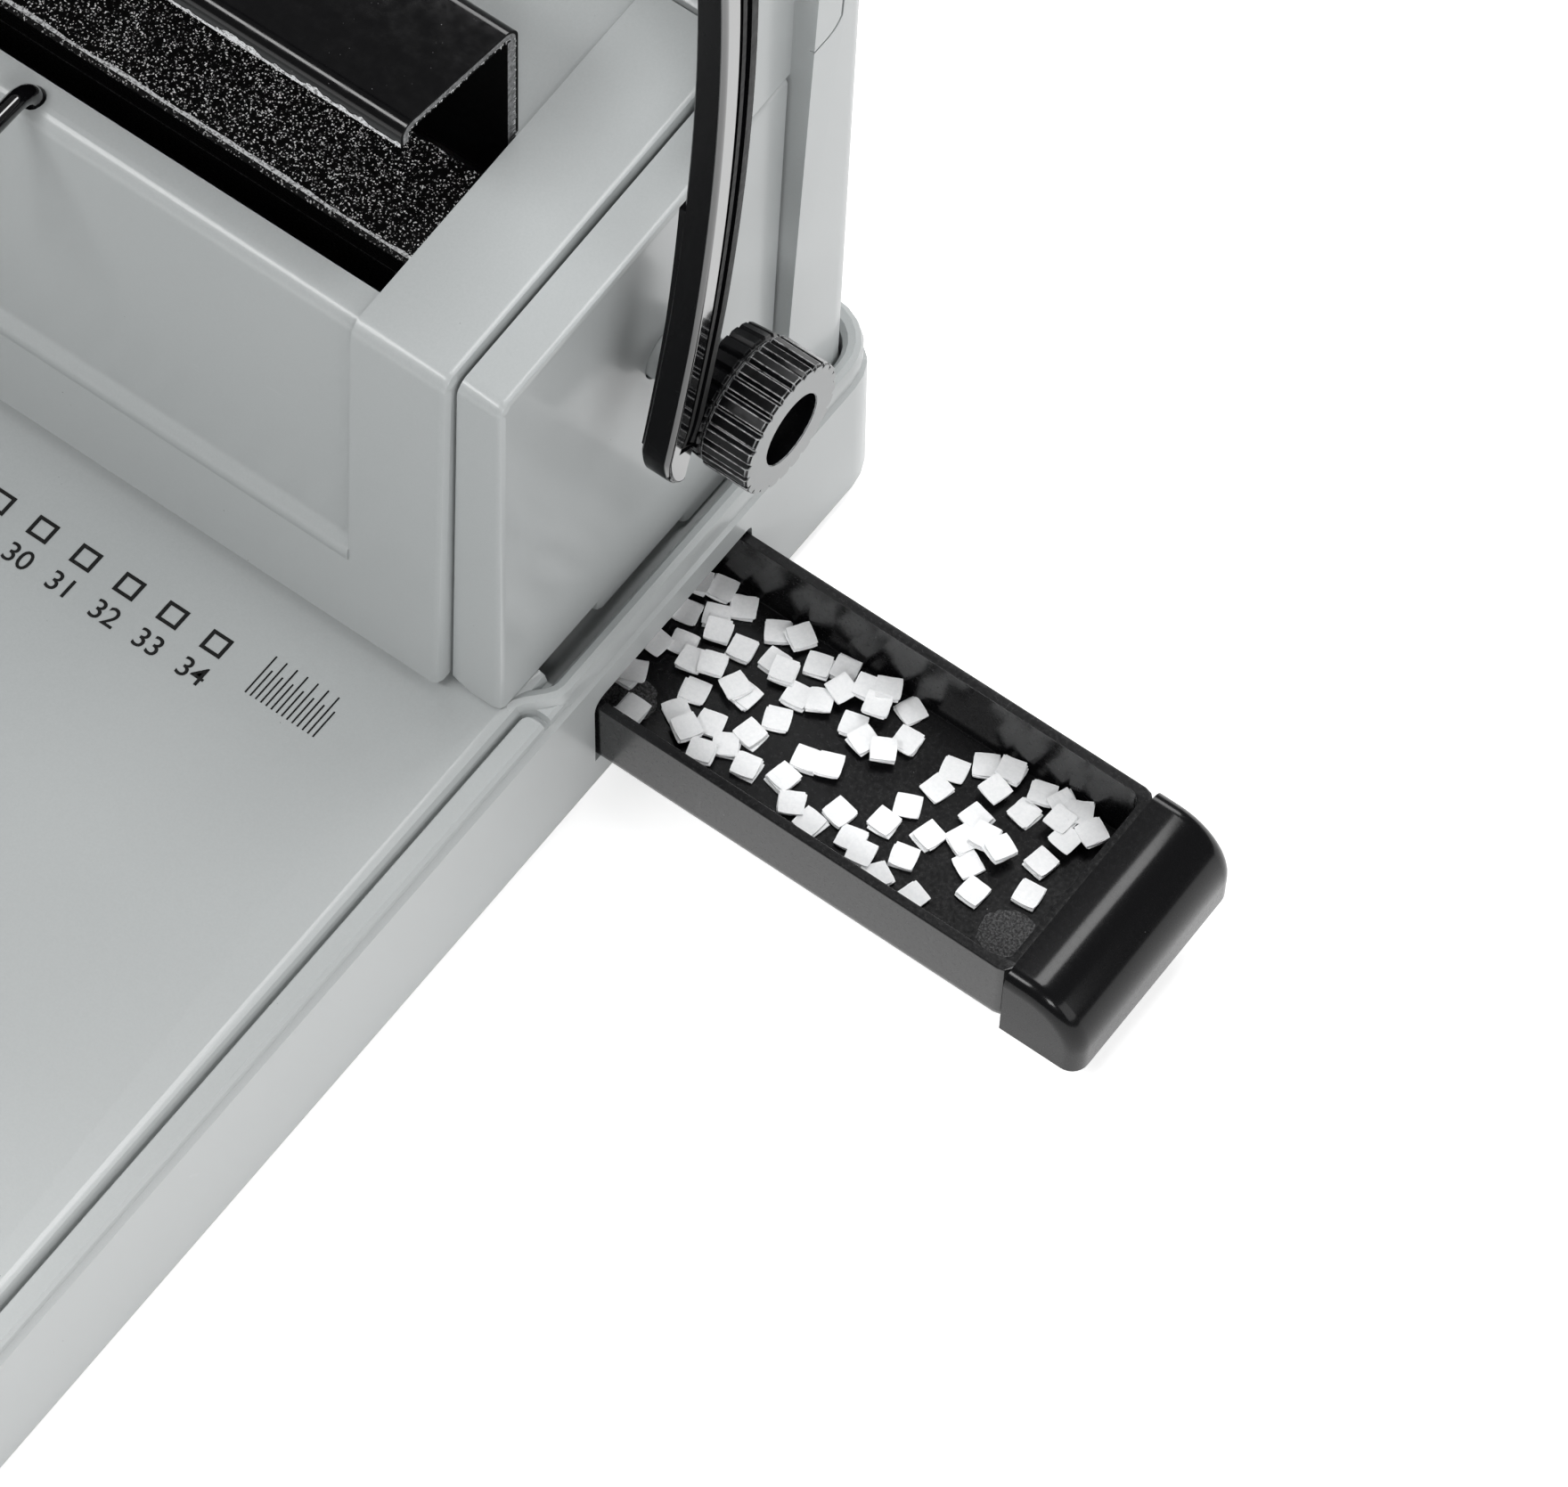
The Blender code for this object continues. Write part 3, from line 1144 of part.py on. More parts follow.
def build_spring(name, x, z0, z1):
    """Return spring round a guide post, as one helix with closed end turns."""
    steps = SPRING_TURNS * 10
    path = []
    for step in range(steps + 1):
        share = step / steps
        angle = math.tau * SPRING_TURNS * share
        path.append((x + SPRING_R * math.cos(angle), PUNCH_Y + SPRING_R * math.sin(angle),
                     z0 + (z1 - z0) * share))
    pitch = (z1 - z0) / SPRING_TURNS
    print("return spring", name, "least gap between turns", pitch - 2 * SPRING_WIRE_R)
    finish("return_spring_" + name, tube(path, SPRING_WIRE_R, 6), "steel", (x, PUNCH_Y, z0))


# Shaft and cams

def cam_outline(base, rise):
    """Cam that pushes a flat follower down in proportion to the handle's angle.

    The outline is the envelope of lines at distance support(angle) from the axis, so over
    the working range it is an involute, and outside it a smooth return.
    """
    points = []
    steps = 72
    work = STROKE_ANGLE
    blend = CAM_BLEND
    back = CAM_RETURN
    top = base + rise * work + rise * blend / 2
    for step in range(steps):
        angle = math.tau * step / steps
        if angle <= work:
            support = base + rise * angle
            slope = rise
        elif angle <= work + blend:
            share = (angle - work) / blend
            support = base + rise * work + rise * blend * (share - share * share / 2)
            slope = rise * (1 - share)
        elif angle <= work + blend + back:
            share = (angle - work - blend) / back
            support = top + (base - top) * (1 - math.cos(math.pi * share)) / 2
            slope = (base - top) * math.pi * math.sin(math.pi * share) / (2 * back)
        else:
            support = base
            slope = 0
        out = Vector((-math.sin(angle), -math.cos(angle)))
        along = Vector((-math.cos(angle), math.sin(angle)))
        point = out * support + along * slope
        points.append((AXIS_Y + point.x, AXIS_Z + point.y))
    return points


def build_shaft():
    left = -(ARM_IN_X + ARM_T - GAP)
    finish("main_shaft", turned_x([
        (left, SHAFT_R * 0.9), (left + SHAFT_R * 0.2, SHAFT_R),
        (SHAFT_END_X - SHAFT_R * 0.2, SHAFT_R), (SHAFT_END_X, SHAFT_R * 0.9),
    ], AXIS_Y, AXIS_Z, 24), "steel", (0, AXIS_Y, AXIS_Z))
    for name, side in SIDES:
        for label, x0, thick, base, rise in (("punch_cam_", CAM_X, CAM_T, CAM_BASE, CAM_RISE),
                                             ("closer_cam_", PRESS_CAM_X, PRESS_CAM_T,
                                              PRESS_CAM_BASE, PRESS_RISE)):
            cam = finish(label + name, mirrored(prism_x(cam_outline(base, rise), x0, x0 + thick),
                                                side), "steel", (side * x0, AXIS_Y, AXIS_Z))
            bore = mirrored(cylinder_x(x0 - OVERRUN, x0 + thick + OVERRUN, AXIS_Y, AXIS_Z,
                                       SHAFT_R + GAP, 24), side)
            cut(cam, finish("cut_" + label + name, bore, None, cutter=True))


# Wire closer

def bed_z():
    return HOUSING_TOP_Z - BED_TOP_DROP


def build_closer():
    top = bed_z()
    outline = [(BED_FRONT_Y, top - BED_FLANGE), (BED_FRONT_Y, top - BED_T * 0.35),
               (BED_FRONT_Y + BED_T * 0.35, top), (BED_BACK_Y, top), (BED_BACK_Y, top - BED_T),
               (BED_FRONT_Y + BED_T, top - BED_T), (BED_FRONT_Y + BED_T, top - BED_FLANGE)]
    half = PLATE_X - GAP
    bed = finish("closer_bed", prism_x(outline, -half, half), "rough_black")
    for name, side in SIDES:
        tab = block(half - BED_T, half, BED_FRONT_Y + OVERRUN, BED_BACK_Y - 5 * OVERRUN,
                    top - BED_TAB, top - OVERRUN / 2)
        join(bed, finish("add_bed_tab_" + name, mirrored(tab, side), None, cutter=True))

    low = PRESS_TOP_Z - PRESS_BACK_H
    bend = PRESS_BEND_R
    inner = max(bend - PRESS_T, SMALL_R)
    outline = fillet([
        (PRESS_FRONT_Y, PRESS_TOP_Z - PRESS_LIP, 0),
        (PRESS_FRONT_Y, PRESS_TOP_Z, bend),
        (PRESS_BACK_Y, PRESS_TOP_Z, bend),
        (PRESS_BACK_Y, low, 0),
        (PRESS_BACK_Y - PRESS_T, low, 0),
        (PRESS_BACK_Y - PRESS_T, PRESS_TOP_Z - PRESS_T, inner),
        (PRESS_FRONT_Y + PRESS_T, PRESS_TOP_Z - PRESS_T, inner),
        (PRESS_FRONT_Y + PRESS_T, PRESS_TOP_Z - PRESS_LIP, 0),
    ], 3)
    finish("press_bar", prism_x(outline, -PRESS_HALF, PRESS_HALF), "black_steel",
           (0, PRESS_BACK_Y, low))
    build_press_brackets(low)


def build_press_brackets(low):
    """Sheet brackets that carry the press bar from feet under the closer cams."""
    lap_y = PRESS_BACK_Y + GAP
    foot_z = AXIS_Z - PRESS_CAM_BASE - GAP
    lap_low = low + BRACKET_SEAT
    lap_top = lap_low + BRACKET_LAP_H
    outline = [
        (lap_y, lap_top), (lap_y, lap_low), (LEG_Y, lap_low), (LEG_Y, foot_z),
        (LEG_Y - BRACKET_FOOT, foot_z), (LEG_Y - BRACKET_FOOT, foot_z - BRACKET_T),
        (LEG_Y + BRACKET_T, foot_z - BRACKET_T), (LEG_Y + BRACKET_T, lap_low + BRACKET_T),
        (lap_y + BRACKET_T, lap_low + BRACKET_T), (lap_y + BRACKET_T, lap_top),
    ]
    wide = PRESS_CAM_X + PRESS_CAM_T
    for name, side in SIDES:
        bracket = finish("press_bracket_" + name, mirrored(prism_x(
            outline, PRESS_CAM_X, wide), side), "zinc", (side * wide, lap_y, lap_top))
        lap = block(PRESS_HALF - BRACKET_LAP, PRESS_CAM_X + OVERRUN, lap_y, lap_y + BRACKET_T,
                    lap_low + OVERRUN, lap_top)
        join(bracket, finish("add_bracket_lap_" + name, mirrored(lap, side), None, cutter=True))


# Handle

def arm_bow(z):
    """How far the arm's arc lies in front of its bend centre's circle at a height."""
    return math.sqrt(ARM_BEND_R ** 2 - (z - ARM_CREST_Z) ** 2)


def arm_centre(z):
    """Centre line of an arm: an arc that is upright at the crest and passes the root."""
    return ARM_ROOT_Y + arm_bow(z) - arm_bow(AXIS_Z)


def arm_outline(inset, top, steps):
    """Outline of an arm in (y, z): two arcs and two round ends, taken in by inset."""
    half = ARM_HALF_W - inset
    front = []
    back = []
    for step in range(steps + 1):
        z = ARM_FOOT_Z + (top - ARM_FOOT_Z) * step / steps
        y = arm_centre(z)
        lean = math.atan2(z - ARM_CREST_Z, arm_bow(z))
        side = Vector((math.cos(lean), math.sin(lean)))
        front.append((y - side.x * half, z - side.y * half))
        back.append((y + side.x * half, z + side.y * half))
    ends = []
    for z in (ARM_FOOT_Z, top):
        ends.append(((arm_centre(z), z), math.degrees(math.atan2(z - ARM_CREST_Z, ARM_BEND_R))))
    (foot, foot_tilt), (head, head_tilt) = ends
    low = arc(foot, half, 180 + foot_tilt, 360 + foot_tilt, 10)
    high = arc(head, half, head_tilt, 180 + head_tilt, 10)
    return low[1:-1] + back + high[1:-1] + front[::-1]


def build_handle():
    head = (arm_centre(ARM_TOP_Z), ARM_TOP_Z)
    for name, side in SIDES:
        arm = finish("handle_arm_" + name, mirrored(prism_x(
            arm_outline(0, ARM_TOP_Z, ARM_SEGMENTS), ARM_IN_X, ARM_IN_X + ARM_T), side),
            "black_gloss",
            (0, AXIS_Y, AXIS_Z))
        pocket = prism_x(arm_outline(ARM_RIM, ARM_TOP_Z, ARM_SEGMENTS),
                         ARM_IN_X + ARM_T - ARM_POCKET, ARM_IN_X + ARM_T + OVERRUN)
        cut(arm, finish("cut_arm_pocket_" + name, mirrored(pocket, side), None, cutter=True))
        hub_top = AXIS_Z + HUB_R * 1.5
        neck = [(arm_centre(AXIS_Z), AXIS_Z - HUB_R * 0.1), (AXIS_Y, AXIS_Z - HUB_R + OVERRUN / 2),
                (AXIS_Y + HUB_R * 0.6, AXIS_Z + HUB_R * 0.7), (arm_centre(hub_top), hub_top)]
        web = prism_x(neck, ARM_IN_X - ROOT_T, HUB_OUT_X - OVERRUN / 4)
        hub = cylinder_x(HUB_IN_X, HUB_OUT_X, AXIS_Y, AXIS_Z, HUB_R, 36)
        join(arm, finish("add_arm_hub_" + name, mirrored(hub, side), None, cutter=True))
        join(arm, finish("add_arm_web_" + name, mirrored(web, side), None, cutter=True))
        root = prism_x(arm_outline(SMALL_R, AXIS_Z + ROOT_RISE, ARM_SEGMENTS // 2),
                       ARM_IN_X - 1.2 * ROOT_T, ARM_IN_X + OVERRUN)
        join(arm, finish("add_arm_root_" + name, mirrored(root, side), None, cutter=True))
        bore = cylinder_x(HUB_IN_X - OVERRUN, HUB_OUT_X + OVERRUN, AXIS_Y, AXIS_Z, SHAFT_R + GAP, 24)
        cut(arm, finish("cut_arm_bore_" + name, mirrored(bore, side), None, cutter=True))

    reach = ARM_IN_X - GAP
    tube_item = finish("handle_tube", cylinder_x(-reach, reach, head[0], head[1], TUBE_R, 24),
                       "black_steel", (0, AXIS_Y, AXIS_Z))
    grip_half = reach * GRIP_SHARE
    round_end = GRIP_R * 0.25
    profile = [(-grip_half, GRIP_R - round_end), (-grip_half + round_end, GRIP_R),
               (grip_half - round_end, GRIP_R), (grip_half, GRIP_R - round_end)]
    grip = finish("handle_grip", turned_x(profile, head[0], head[1], GRIP_SIDES), "black_matt",
                  (0, AXIS_Y, AXIS_Z))
    bore = cylinder_x(-reach, reach, head[0], head[1], TUBE_R + GAP, 24)
    cut(grip, finish("cut_grip_bore", bore, None, cutter=True))
    cap_x = -(ARM_IN_X + ARM_T)
    cap = finish("shaft_cap", turned_x([
        (-HUB_OUT_X - GAP, CAP_R * 0.9), (cap_x, CAP_R), (cap_x - CAP_T * 0.7, CAP_R),
        (cap_x - CAP_T, CAP_R * 0.8)], AXIS_Y, AXIS_Z, 28), "black_gloss", (0, AXIS_Y, AXIS_Z))
    seat = cylinder_x(cap_x, -HUB_OUT_X + OVERRUN, AXIS_Y, AXIS_Z, SHAFT_R + GAP, 24)
    cut(cap, finish("cut_cap_bore", seat, None, cutter=True))
    return tube_item


# Adjusting knob

def ribbed_ring(x, radius, height):
    """One section of the knob: flat-topped ribs with narrow valleys between them."""
    ring = []
    for index in range(KNOB_RIBS):
        for share, depth in zip(KNOB_RIB_SHARES, (1, 0, 0)):
            angle = math.tau * (index + share) / KNOB_RIBS
            reach = radius - height * depth
            ring.append((x, AXIS_Y + reach * math.cos(angle), AXIS_Z + reach * math.sin(angle)))
    return ring


def build_knob():
    soft = KNOB_RIB_H / 2
    neck = KNOB_R - KNOB_RIB_H
    head = finish("adjust_knob", loft([
        ribbed_ring(KNOB_COLLAR_X, KNOB_COLLAR_R - soft, KNOB_RIB_H),
        ribbed_ring(KNOB_HEAD_X - 2 * soft, KNOB_COLLAR_R, KNOB_RIB_H),
        ribbed_ring(KNOB_HEAD_X - soft, neck, 0),
        ribbed_ring(KNOB_HEAD_X, neck, 0),
        ribbed_ring(KNOB_HEAD_X + soft, KNOB_R, KNOB_RIB_H),
        ribbed_ring(KNOB_END_X - soft, KNOB_R, KNOB_RIB_H),
        ribbed_ring(KNOB_END_X, KNOB_R - soft, KNOB_RIB_H),
    ]), "black_gloss", (KNOB_HEAD_X, AXIS_Y, AXIS_Z))
    bore = finish("cut_knob_bore", turned_x([
        (KNOB_COLLAR_X - OVERRUN, SHAFT_R + GAP), (SHAFT_END_X + GAP, SHAFT_R + GAP),
        (SHAFT_END_X + GAP, KNOB_BORE_R), (KNOB_END_X + OVERRUN, KNOB_BORE_R)],
        AXIS_Y, AXIS_Z, 24), None, cutter=True)
    cut(head, bore)


# Chip drawer

def build_drawer():
    x1 = DRAWER_END_X
    x0 = x1 - DRAWER_LEN
    tray = finish("chip_drawer", rectangle_stack(
        x0, x1, DRAWER_Y0, DRAWER_Y1, DRAWER_CORNER_R,
        [(DRAWER_FLOOR_IN, DRAWER_Z0), (0, DRAWER_Z0 + DRAWER_WALL), (0, DRAWER_Z1)], 3),
        "black_matt",
        (x1, (DRAWER_Y0 + DRAWER_Y1) / 2, DRAWER_Z0))
    hollow = rectangle_stack(
        x0 + DRAWER_WALL, x1 - DRAWER_WALL, DRAWER_Y0 + DRAWER_WALL, DRAWER_Y1 - DRAWER_WALL,
        DRAWER_CORNER_R,
        [(DRAWER_ROOT_IN, DRAWER_Z0 + DRAWER_WALL),
         (DRAWER_DRAFT_IN, DRAWER_Z0 + 2 * DRAWER_WALL), (0, DRAWER_Z1 + OVERRUN)], 3)
    cut(tray, finish("cut_drawer_hollow", hollow, None, cutter=True))

    start = x1 - DRAWER_CAP_LAP
    end = x1 + DRAWER_CAP_LEN
    low = DRAWER_Z0 - DRAWER_CAP_PROUD * 0.4
    high = DRAWER_Z1 + DRAWER_CAP_RISE - DRAWER_SLIP
    profile = fillet([(start, low, 0), (end, low, DRAWER_CAP_LOW_R), (end, high, DRAWER_CAP_ROUND),
                      (start, high, 0)], 8)
    y0 = DRAWER_Y0 - DRAWER_CAP_PROUD
    y1 = DRAWER_Y1 + DRAWER_CAP_PROUD
    mid = ((start + end) / 2, (low + high) / 2)
    rings = []
    corner = DRAWER_CAP_CORNER
    steps = 5
    for edge, sense in ((y0, 1), (y1, -1)):
        rows = []
        for step in range(steps + 1):
            angle = math.pi / 2 * step / steps
            inset = corner * (1 - math.sin(angle))
            offset = corner * (1 - math.cos(angle))
            row = []
            for x, z in profile:
                share_x = (x - start) / (end - start)
                share_z = max(0.0, (z - mid[1]) / (high - mid[1]))
                row.append((x - inset * share_x, edge + sense * offset, z - inset * 0.35 * share_z))
            rows.append(row)
        rings += rows if sense > 0 else rows[::-1]
    grip = finish("drawer_grip", loft(rings), "black_matt",
                  (end, (DRAWER_Y0 + DRAWER_Y1) / 2, DRAWER_Z0))
    socket = rectangle_stack(
        start - OVERRUN - DRAWER_CORNER_R, x1 + GAP, DRAWER_Y0 - GAP, DRAWER_Y1 + GAP,
        DRAWER_CORNER_R, [(0, DRAWER_Z0 - GAP), (0, DRAWER_Z1 + GAP)], 3)
    cut(grip, finish("cut_grip_socket", socket, None, cutter=True))
    open_top = block(start - OVERRUN, x1 - DRAWER_WALL - GAP, DRAWER_Y0 + DRAWER_WALL + GAP,
                     DRAWER_Y1 - DRAWER_WALL - GAP, DRAWER_Z1 - OVERRUN, high + OVERRUN)
    cut(grip, finish("cut_grip_top", open_top, None, cutter=True))
    build_rails()


def build_rails():
    """Two angle rails on the bottom plate that guide the drawer."""
    floor = plate_z() + PLATE_T + GAP
    seat = DRAWER_Z0 - GAP
    high = DRAWER_Z0 + (DRAWER_Z1 - DRAWER_Z0) * 0.7
    for name, edge, sense in (("front", DRAWER_Y0, -1), ("rear", DRAWER_Y1, 1)):
        wall = edge + sense * (GAP + DRAWER_SLIP / 2)
        inside = edge - sense * RAIL_FOOT
        outline = [(inside, seat), (inside, seat - RAIL_T), (wall - sense * RAIL_T, seat - RAIL_T),
                   (wall - sense * RAIL_T, floor), (wall + sense * RAIL_T, floor),
                   (wall + sense * RAIL_T, high), (wall, high), (wall, seat)]
        half = BASE_HALF_WIDTH - RAIL_END_SET
        finish("drawer_rail_" + name, prism_x(outline, 2 * RAIL_FOOT - half, half), "zinc")


# Wire hooks

def hook_y():
    return WELL_FRONT_Y - HOOK_SETBACK


def build_hooks():
    """Bent rods that hold the open wire in front of the housing."""
    y = hook_y()
    low = HOUSING_TOP_Z - HOOK_DEPTH * 0.5
    top = top_z(y) + HOOK_R + GAP
    for name, side in SIDES:
        x = side * HOOK_X
        path = [(x, y, low), (x, y, top - HOOK_BEND * 0.8)]
        for u, v in arc((y - HOOK_BEND * 0.8, top - HOOK_BEND * 0.8), HOOK_BEND * 0.8, 15, 90, 5):
            path.append((x, u, v))
        end_y = y - HOOK_REACH
        for u, v in arc((end_y, top - HOOK_BEND), HOOK_BEND, 90, 165, 6):
            path.append((x, u, v))
        last = path[-1]
        path.append((x, last[1] - HOOK_TIP * 0.25, last[2] - HOOK_TIP))
        finish("wire_hook_" + name, tube(path, HOOK_R, 14), "black_gloss", (x, y, low))


# Paper edge guide

def fence_mid_y():
    return HOUSING_FRONT_Y - FENCE_BACK_SET - FENCE_LEN / 2


def build_edge_guide():
    x1 = -GUIDE_FENCE_X
    z0 = TRAY_Z + GAP
    outline = [(x1, z0), (x1, z0 + FENCE_H), (x1 - FENCE_T, z0 + FENCE_H),
               (x1 - FENCE_T, z0 + FENCE_BASE_T), (x1 - FENCE_BASE, z0 + FENCE_BASE_T),
               (x1 - FENCE_BASE, z0)]
    fence = finish("edge_guide", prism_y(outline, fence_mid_y() - FENCE_LEN / 2,
                                         fence_mid_y() + FENCE_LEN / 2),
                   "black_matt", (x1, fence_mid_y(), z0))
    peg_x = x1 - FENCE_BASE / 2
    peg = cylinder_z(peg_x, fence_mid_y(), TRAY_Z - TRAY_PLATE, z0 + OVERRUN, PEG_R, 20)
    join(fence, finish("add_guide_peg", peg, None, cutter=True))
    lock_z = z0 + FENCE_BASE_T + GAP
    rings = []
    for z, radius in ((lock_z, LOCK_R * 0.9), (lock_z + LOCK_H * 0.2, LOCK_R),
                      (lock_z + LOCK_H * 0.85, LOCK_R), (lock_z + LOCK_H, LOCK_R * 0.86)):
        ring = []
        for index in range(36):
            angle = math.tau * index / 36
            reach = radius * (1 - (LOCK_FLUTE_SHARE if index % 3 == 0 else 0.0))
            ring.append((peg_x + reach * math.cos(angle), fence_mid_y() + reach * math.sin(angle), z))
        rings.append(ring)
    finish("guide_lock_knob", loft(rings), "black_gloss", (peg_x, fence_mid_y(), lock_z))


build_base()
build_bottom()
build_housing()
build_cheeks()
build_rear_cover()
build_frame()
build_dies()
build_punch()
build_shaft()
build_closer()
build_handle()
build_knob()
build_drawer()
build_hooks()
build_edge_guide()
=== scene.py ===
import json
import math
import random

import bmesh
import bpy
from mathutils import Matrix, Vector


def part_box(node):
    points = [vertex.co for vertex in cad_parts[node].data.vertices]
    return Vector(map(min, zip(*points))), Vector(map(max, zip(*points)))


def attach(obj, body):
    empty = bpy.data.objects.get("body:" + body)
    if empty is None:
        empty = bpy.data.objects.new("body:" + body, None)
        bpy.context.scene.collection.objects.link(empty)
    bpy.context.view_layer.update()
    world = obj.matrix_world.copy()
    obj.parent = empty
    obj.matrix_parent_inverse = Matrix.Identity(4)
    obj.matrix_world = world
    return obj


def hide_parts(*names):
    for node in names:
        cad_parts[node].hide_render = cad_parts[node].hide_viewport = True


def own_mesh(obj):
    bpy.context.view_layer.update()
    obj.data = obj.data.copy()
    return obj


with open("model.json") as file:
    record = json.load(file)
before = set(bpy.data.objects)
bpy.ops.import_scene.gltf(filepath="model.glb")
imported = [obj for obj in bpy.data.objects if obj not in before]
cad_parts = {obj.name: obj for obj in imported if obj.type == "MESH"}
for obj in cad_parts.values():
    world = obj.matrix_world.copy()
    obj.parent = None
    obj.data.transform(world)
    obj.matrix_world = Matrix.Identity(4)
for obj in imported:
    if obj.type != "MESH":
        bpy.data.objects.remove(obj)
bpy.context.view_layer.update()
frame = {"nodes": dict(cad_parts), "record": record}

NODES = frame["nodes"]

# Boxes of the solids that pieces are fitted to. Lengths are in metres, z starts at the table
SHELL_LOW, SHELL_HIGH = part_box("base_shell")
BED_LOW, BED_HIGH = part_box("closer_bed")
BAR_LOW, BAR_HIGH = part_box("press_bar")
KNOB_LOW, KNOB_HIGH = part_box("adjust_knob")
DRAWER_LOW, DRAWER_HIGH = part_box("chip_drawer")
CAP_LOW, CAP_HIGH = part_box("drawer_grip")
ARM_LOW, ARM_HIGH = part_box("handle_arm_right")
PLATE_LOW, PLATE_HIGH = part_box("bottom_plate")

# Middle of the punch row, axis of the handle, top of the tray, and the small gap that keeps
# a thin piece clear of the face under it
MIDDLE_X = (SHELL_LOW.x + SHELL_HIGH.x) / 2
AXIS_Y = (KNOB_LOW.y + KNOB_HIGH.y) / 2
AXIS_Z = (KNOB_LOW.z + KNOB_HIGH.z) / 2
TRAY_Z = 0.036
SKIN = 0.00006

# Rounding and smooth shading of the nodes; angles in degrees
SOFT_NODES = ("base_shell", "main_housing", "side_cheek_right", "side_cheek_left", "rear_cover")
SOFT_WIDTH = 0.0004
DRAWER_SOFT_WIDTH = 0.00035
SOFT_SEGMENTS = 2
SOFT_ANGLE = 28
WELD_GAP = 0.00001
NODE_SHARP = 32
FLAT_WEIGHT = 100
# Angles over which the edges of own pieces stay sharp
MOULD_SHARP = 50
BAR_SHARP = 40
ARM_SHARP = 38

# Printed marks: a square and a number for each hole of the 3:1 pitch, and an edge scale
HOLE_COUNT = 34
HOLE_PITCH = 0.0254 / 3
MARK_Y = 0.0275
SQUARE_HALF = 0.00195
SQUARE_LINE = 0.00066
NUMBER_DROP = 0.0062
NUMBER_SIZE = 0.0051
NUMBER_BOLD = 0.00003
NUMBER_CURVE_STEPS = 4
SCALE_X = 0.1484
SCALE_STEP = 0.001
SCALE_LINES = 14
SCALE_LINE_W = 0.00028
SCALE_LOW = 0.0041
SCALE_HIGHS = (0.0038, 0.0014)

# Ragged strips: width at the start as a share, and how fast the width may change. The
# values of a strip's own are its seed, how much of its width may go, and its steps
RAGGED_START = 0.7
RAGGED_PACE = 0.5

# Bed: worn line on its front edge, and a thin bead along its flange
BED_INSET = 0.0010
BED_EDGE_IN = 0.0006
BED_EDGE_W = 0.0008
BED_EDGE_RAG = (3, 0.45, 260)
BED_BEAD_DROP = 0.0046
BED_BEAD_H = 0.00025

# Press bar: bent sheet whose ends are cut at a slant
BAR_SHEET = 0.0022
BAR_BEND_R = 0.0027
BAR_BEND_STEPS = 6
BAR_LIP = 0.0045
BAR_SLANT = 0.0022
BAR_FRONT_Y = 0.0604
BAR_BACK_Y = 0.0852
# Rows of a cut end, as shares of the sheet's thickness. One band between two rows is bare
# along the whole end, and the next one on the flange only
BAR_LAYERS = (0.0, 0.10, 0.24, 0.72, 1.0)
BAR_BARE_BAND = 2
BAR_FLANGE_BAND = 3
# Material slots: dull bare steel, and the darker enamel copy that paints shade on the bar's inside
# and on its cut ends
BAR_DULL = 1
BAR_SHADE = 2
BAR_EDGE_W = 0.0019
BAR_EDGE_RAG = (5, 0.6, 520)
# Burrs on the cut ends: length, reach, lean in or out, share that is left out; then each
# line's name, depth as a share of the sheet, part of the contour and seed
BURR_STEP = 0.0004
BURR_REACH = 0.0010
BURR_SPREAD = (-0.3, 1.0)
BURR_GAPS = 0.2
BURRS = (("bar_end_top_", 0.72, slice(0, -1), 7), ("bar_end_flange_", 0.30, slice(-2, None), 9))

# Knob's end face: outline of its ribs, and the hole as a share of the radius
KNOB_RIBS = 24
KNOB_RIB_H = 0.0008
KNOB_RIB_SHARES = (0.0, 0.20, 0.50, 0.80)
KNOB_FACE_IN = 0.00012
KNOB_HOLE_SHARE = 0.565

# Handle arms: a bent bar whose outer face has a broad band and two ridges behind it
ARM_T = 0.0051
ARM_HALF_W = 0.00375
ARM_BEND_R = 0.396
ARM_CREST_RISE = 0.0930
ARM_ROOT_SET = 0.0150
ARM_FRONT_FOOT_Z = 0.0888
ARM_REAR_FOOT_Z = 0.0811
ARM_BOW_RISE = 0.030
ARM_BOW_FIX = 0.0008
ARM_INNER_EDGE = 0.0004
ARM_STEPS = 40
ARM_END_STEPS = 16
# The rear edge moves back over a short height, and the grooves start in the middle of it
ARM_REAR_MORE = 0.0014
ARM_REAR_FROM_Z = 0.0860
ARM_REAR_OVER = 0.0070
ARM_GROOVE_Z = 0.0882
ARM_REAR_HEIGHTS = (0.0840, 0.0860, ARM_GROOVE_Z, 0.0892, 0.0912, 0.0930)
ARM_FOOT_SHARE = 0.2
# Black rib on the inner side, put where the arm's shadow falls on the cheek as painted shade, and
# the web between arm and hub in hub radii
ARM_STRIP_T = 0.0009
ARM_STRIP_TOP_Z = 0.1418
ARM_STRIP_STEPS = 16
ARM_STRIP_IN = 0.0002
ARM_STRIP_TAPER = 0.0014
ARM_HUB_R = 0.0060
ARM_WEB_CORNER = 0.7
ARM_WEB_RISE = 2.6
STUB_SIDES = 32
ARM_GLOSS = 0
ARM_SATIN = 1
# Front inset, front depth below the outer face, rear inset, rear depth, finish of the
# rear band from here to the next row: 0 glossy, 1 satin, 2 dull
ARM_LOOPS = (
    (0.0, 0.0008, 0.0, 0.0012, 2), (0.0001, 0.00045, 0.0003, 0.0006, 0),
    (0.0004, 0.00018, 0.0005, 0.0005, 2), (0.0006, 0.00005, 0.0022, 0.00035, 1),
    (0.0008, 0.0, 0.0023, 0.0011, 1), (0.0009, 0.0, 0.0032, 0.0011, 1),
    (0.0010, 0.0, 0.0033, 0.0004, 2), (0.0010, 0.0, 0.0042, 0.0004, 1),
    (0.0011, 0.0, 0.0043, 0.0012, 1), (0.0011, 0.0, 0.0054, 0.0012, 1),
    (0.0012, 0.0, 0.0055, 0.0, 0))

